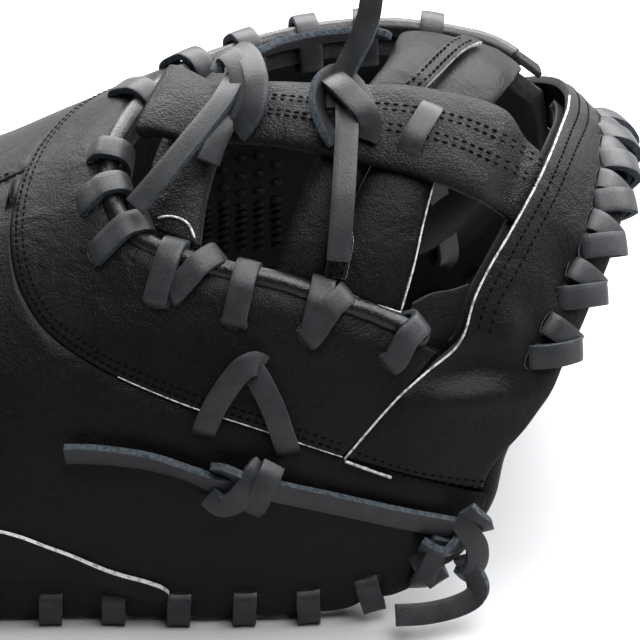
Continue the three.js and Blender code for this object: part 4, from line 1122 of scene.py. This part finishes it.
# Raised dots on the far wall's lining, steps and starts as shares of the length and degrees
dotLook = {"columns": 5, "rows": 11, "along": 0.607, "alongStep": 0.0175, "turn": 44, "turnStep": 2.8,
           "stagger": 0.6, "half": (1.7, 1.15, 0.9), "sink": 1.3}


def liningDots():
    bm = bmesh.new()
    lift = layers["palmUnder"] + dotLook["sink"]
    for column in range(dotLook["columns"]):
        for row in range(dotLook["rows"]):
            spot = chartSpot(dotLook["along"] + dotLook["alongStep"] * column,
                             dotLook["turn"] + dotLook["turnStep"] * row + dotLook["stagger"] * (column % 2))
            point, normal = surfaceAt(spot.x, spot.y, lift, palmDepth)
            ahead = surfaceAt(spot.x + 1, spot.y, lift, palmDepth)[0] - point
            addBead(bm, point - normal * dotLook["sink"], ahead.normalized(), normal, dotLook["half"],
                    (10, 6))
    finishPiece(bm, "liningDots", ["palm"])


liningDots()


def cornerLining():
    # the lining shows dark behind the corner where the rolled edge meets the cap
    bm = bmesh.new()
    rows = [(0.8, -60.5, 0.806, -54.5), (0.818, -63.6, 0.824, -53.0), (0.832, -65.0, 0.842, -52.5),
            (0.846, -64.0, 0.858, -51.5)]
    first, second = edgePair(rows, 12)
    for vert, u, v in gridSpots(bm, 14, 14):
        spot = first.at(u).lerp(second.at(u), v)
        vert.co = surfaceAt(spot.x, spot.y, -3.2)[0] * mm
    finishPiece(bm, "cornerLining", ["palm"], "darkEdge", (), 1.4, 0.0, 0.2)


cornerLining()
print("edges and dots made")


# Floor, light and camera
studio = {
    "floor": (0.34, 0.34, 0.35),
    "world": 0.07,
    "aim": (0.0659, -0.00785, 0.05663),
    "distance": 0.9,
    "elevation": 33,
    "lens": 180,
    "sensor": 36,
    "lights": {  # place, target, size and power
        "topSoftbox": ((0.15, 0.95, 0.95), (0.05, 0, 0.05), (2.6, 1.0), 104),
        "overheadFill": ((0.35, -0.28, 1.5), (0.1, -0.04, 0.05), (1.1, 1.1), 46),
        "rightSoftbox": ((1.05, 0.25, 0.75), (0.15, -0.03, 0.08), (0.8, 0.8), 20),
    },
}


def makeFloor():
    bm = bmesh.new()
    bmesh.ops.create_grid(bm, x_segments=2, y_segments=2, size=4.0)
    mesh = bpy.data.meshes.new("floor")
    bm.to_mesh(mesh)
    bm.free()
    floor = bpy.data.objects.new("floor", mesh)
    bpy.context.scene.collection.objects.link(floor)
    material, _, shader = newMaterial("paleFloor")
    shader.inputs["Base Color"].default_value = (*studio["floor"], 1)
    shader.inputs["Roughness"].default_value = 0.9
    mesh.materials.append(material)


def addLight(name, place, target, size, power):
    light = bpy.data.lights.new(name, "AREA")
    light.shape = "RECTANGLE"
    light.size, light.size_y = size
    light.energy = power
    lamp = bpy.data.objects.new(name, light)
    bpy.context.scene.collection.objects.link(lamp)
    lamp.location = place
    lamp.rotation_euler = (Vector(target) - Vector(place)).to_track_quat("-Z", "Y").to_euler()


makeFloor()
for name, settings in studio["lights"].items():
    addLight(name, *settings)

world = bpy.data.worlds.new("studio")
world.use_nodes = True
world.node_tree.nodes["Background"].inputs["Color"].default_value = (1, 1, 1, 1)
world.node_tree.nodes["Background"].inputs["Strength"].default_value = studio["world"]
bpy.context.scene.world = world
bpy.context.scene.view_settings.view_transform = "Standard"

camera = bpy.data.cameras.new("camera")
camera.lens = studio["lens"]
camera.sensor_width = studio["sensor"]
viewer = bpy.data.objects.new("camera", camera)
bpy.context.scene.collection.objects.link(viewer)
tilt = math.radians(studio["elevation"])
back = Vector((0, -math.cos(tilt), math.sin(tilt)))
viewer.location = Vector(studio["aim"]) + back * studio["distance"]
viewer.rotation_euler = back.to_track_quat("Z", "Y").to_euler()
bpy.context.scene.camera = viewer

print("scene done")
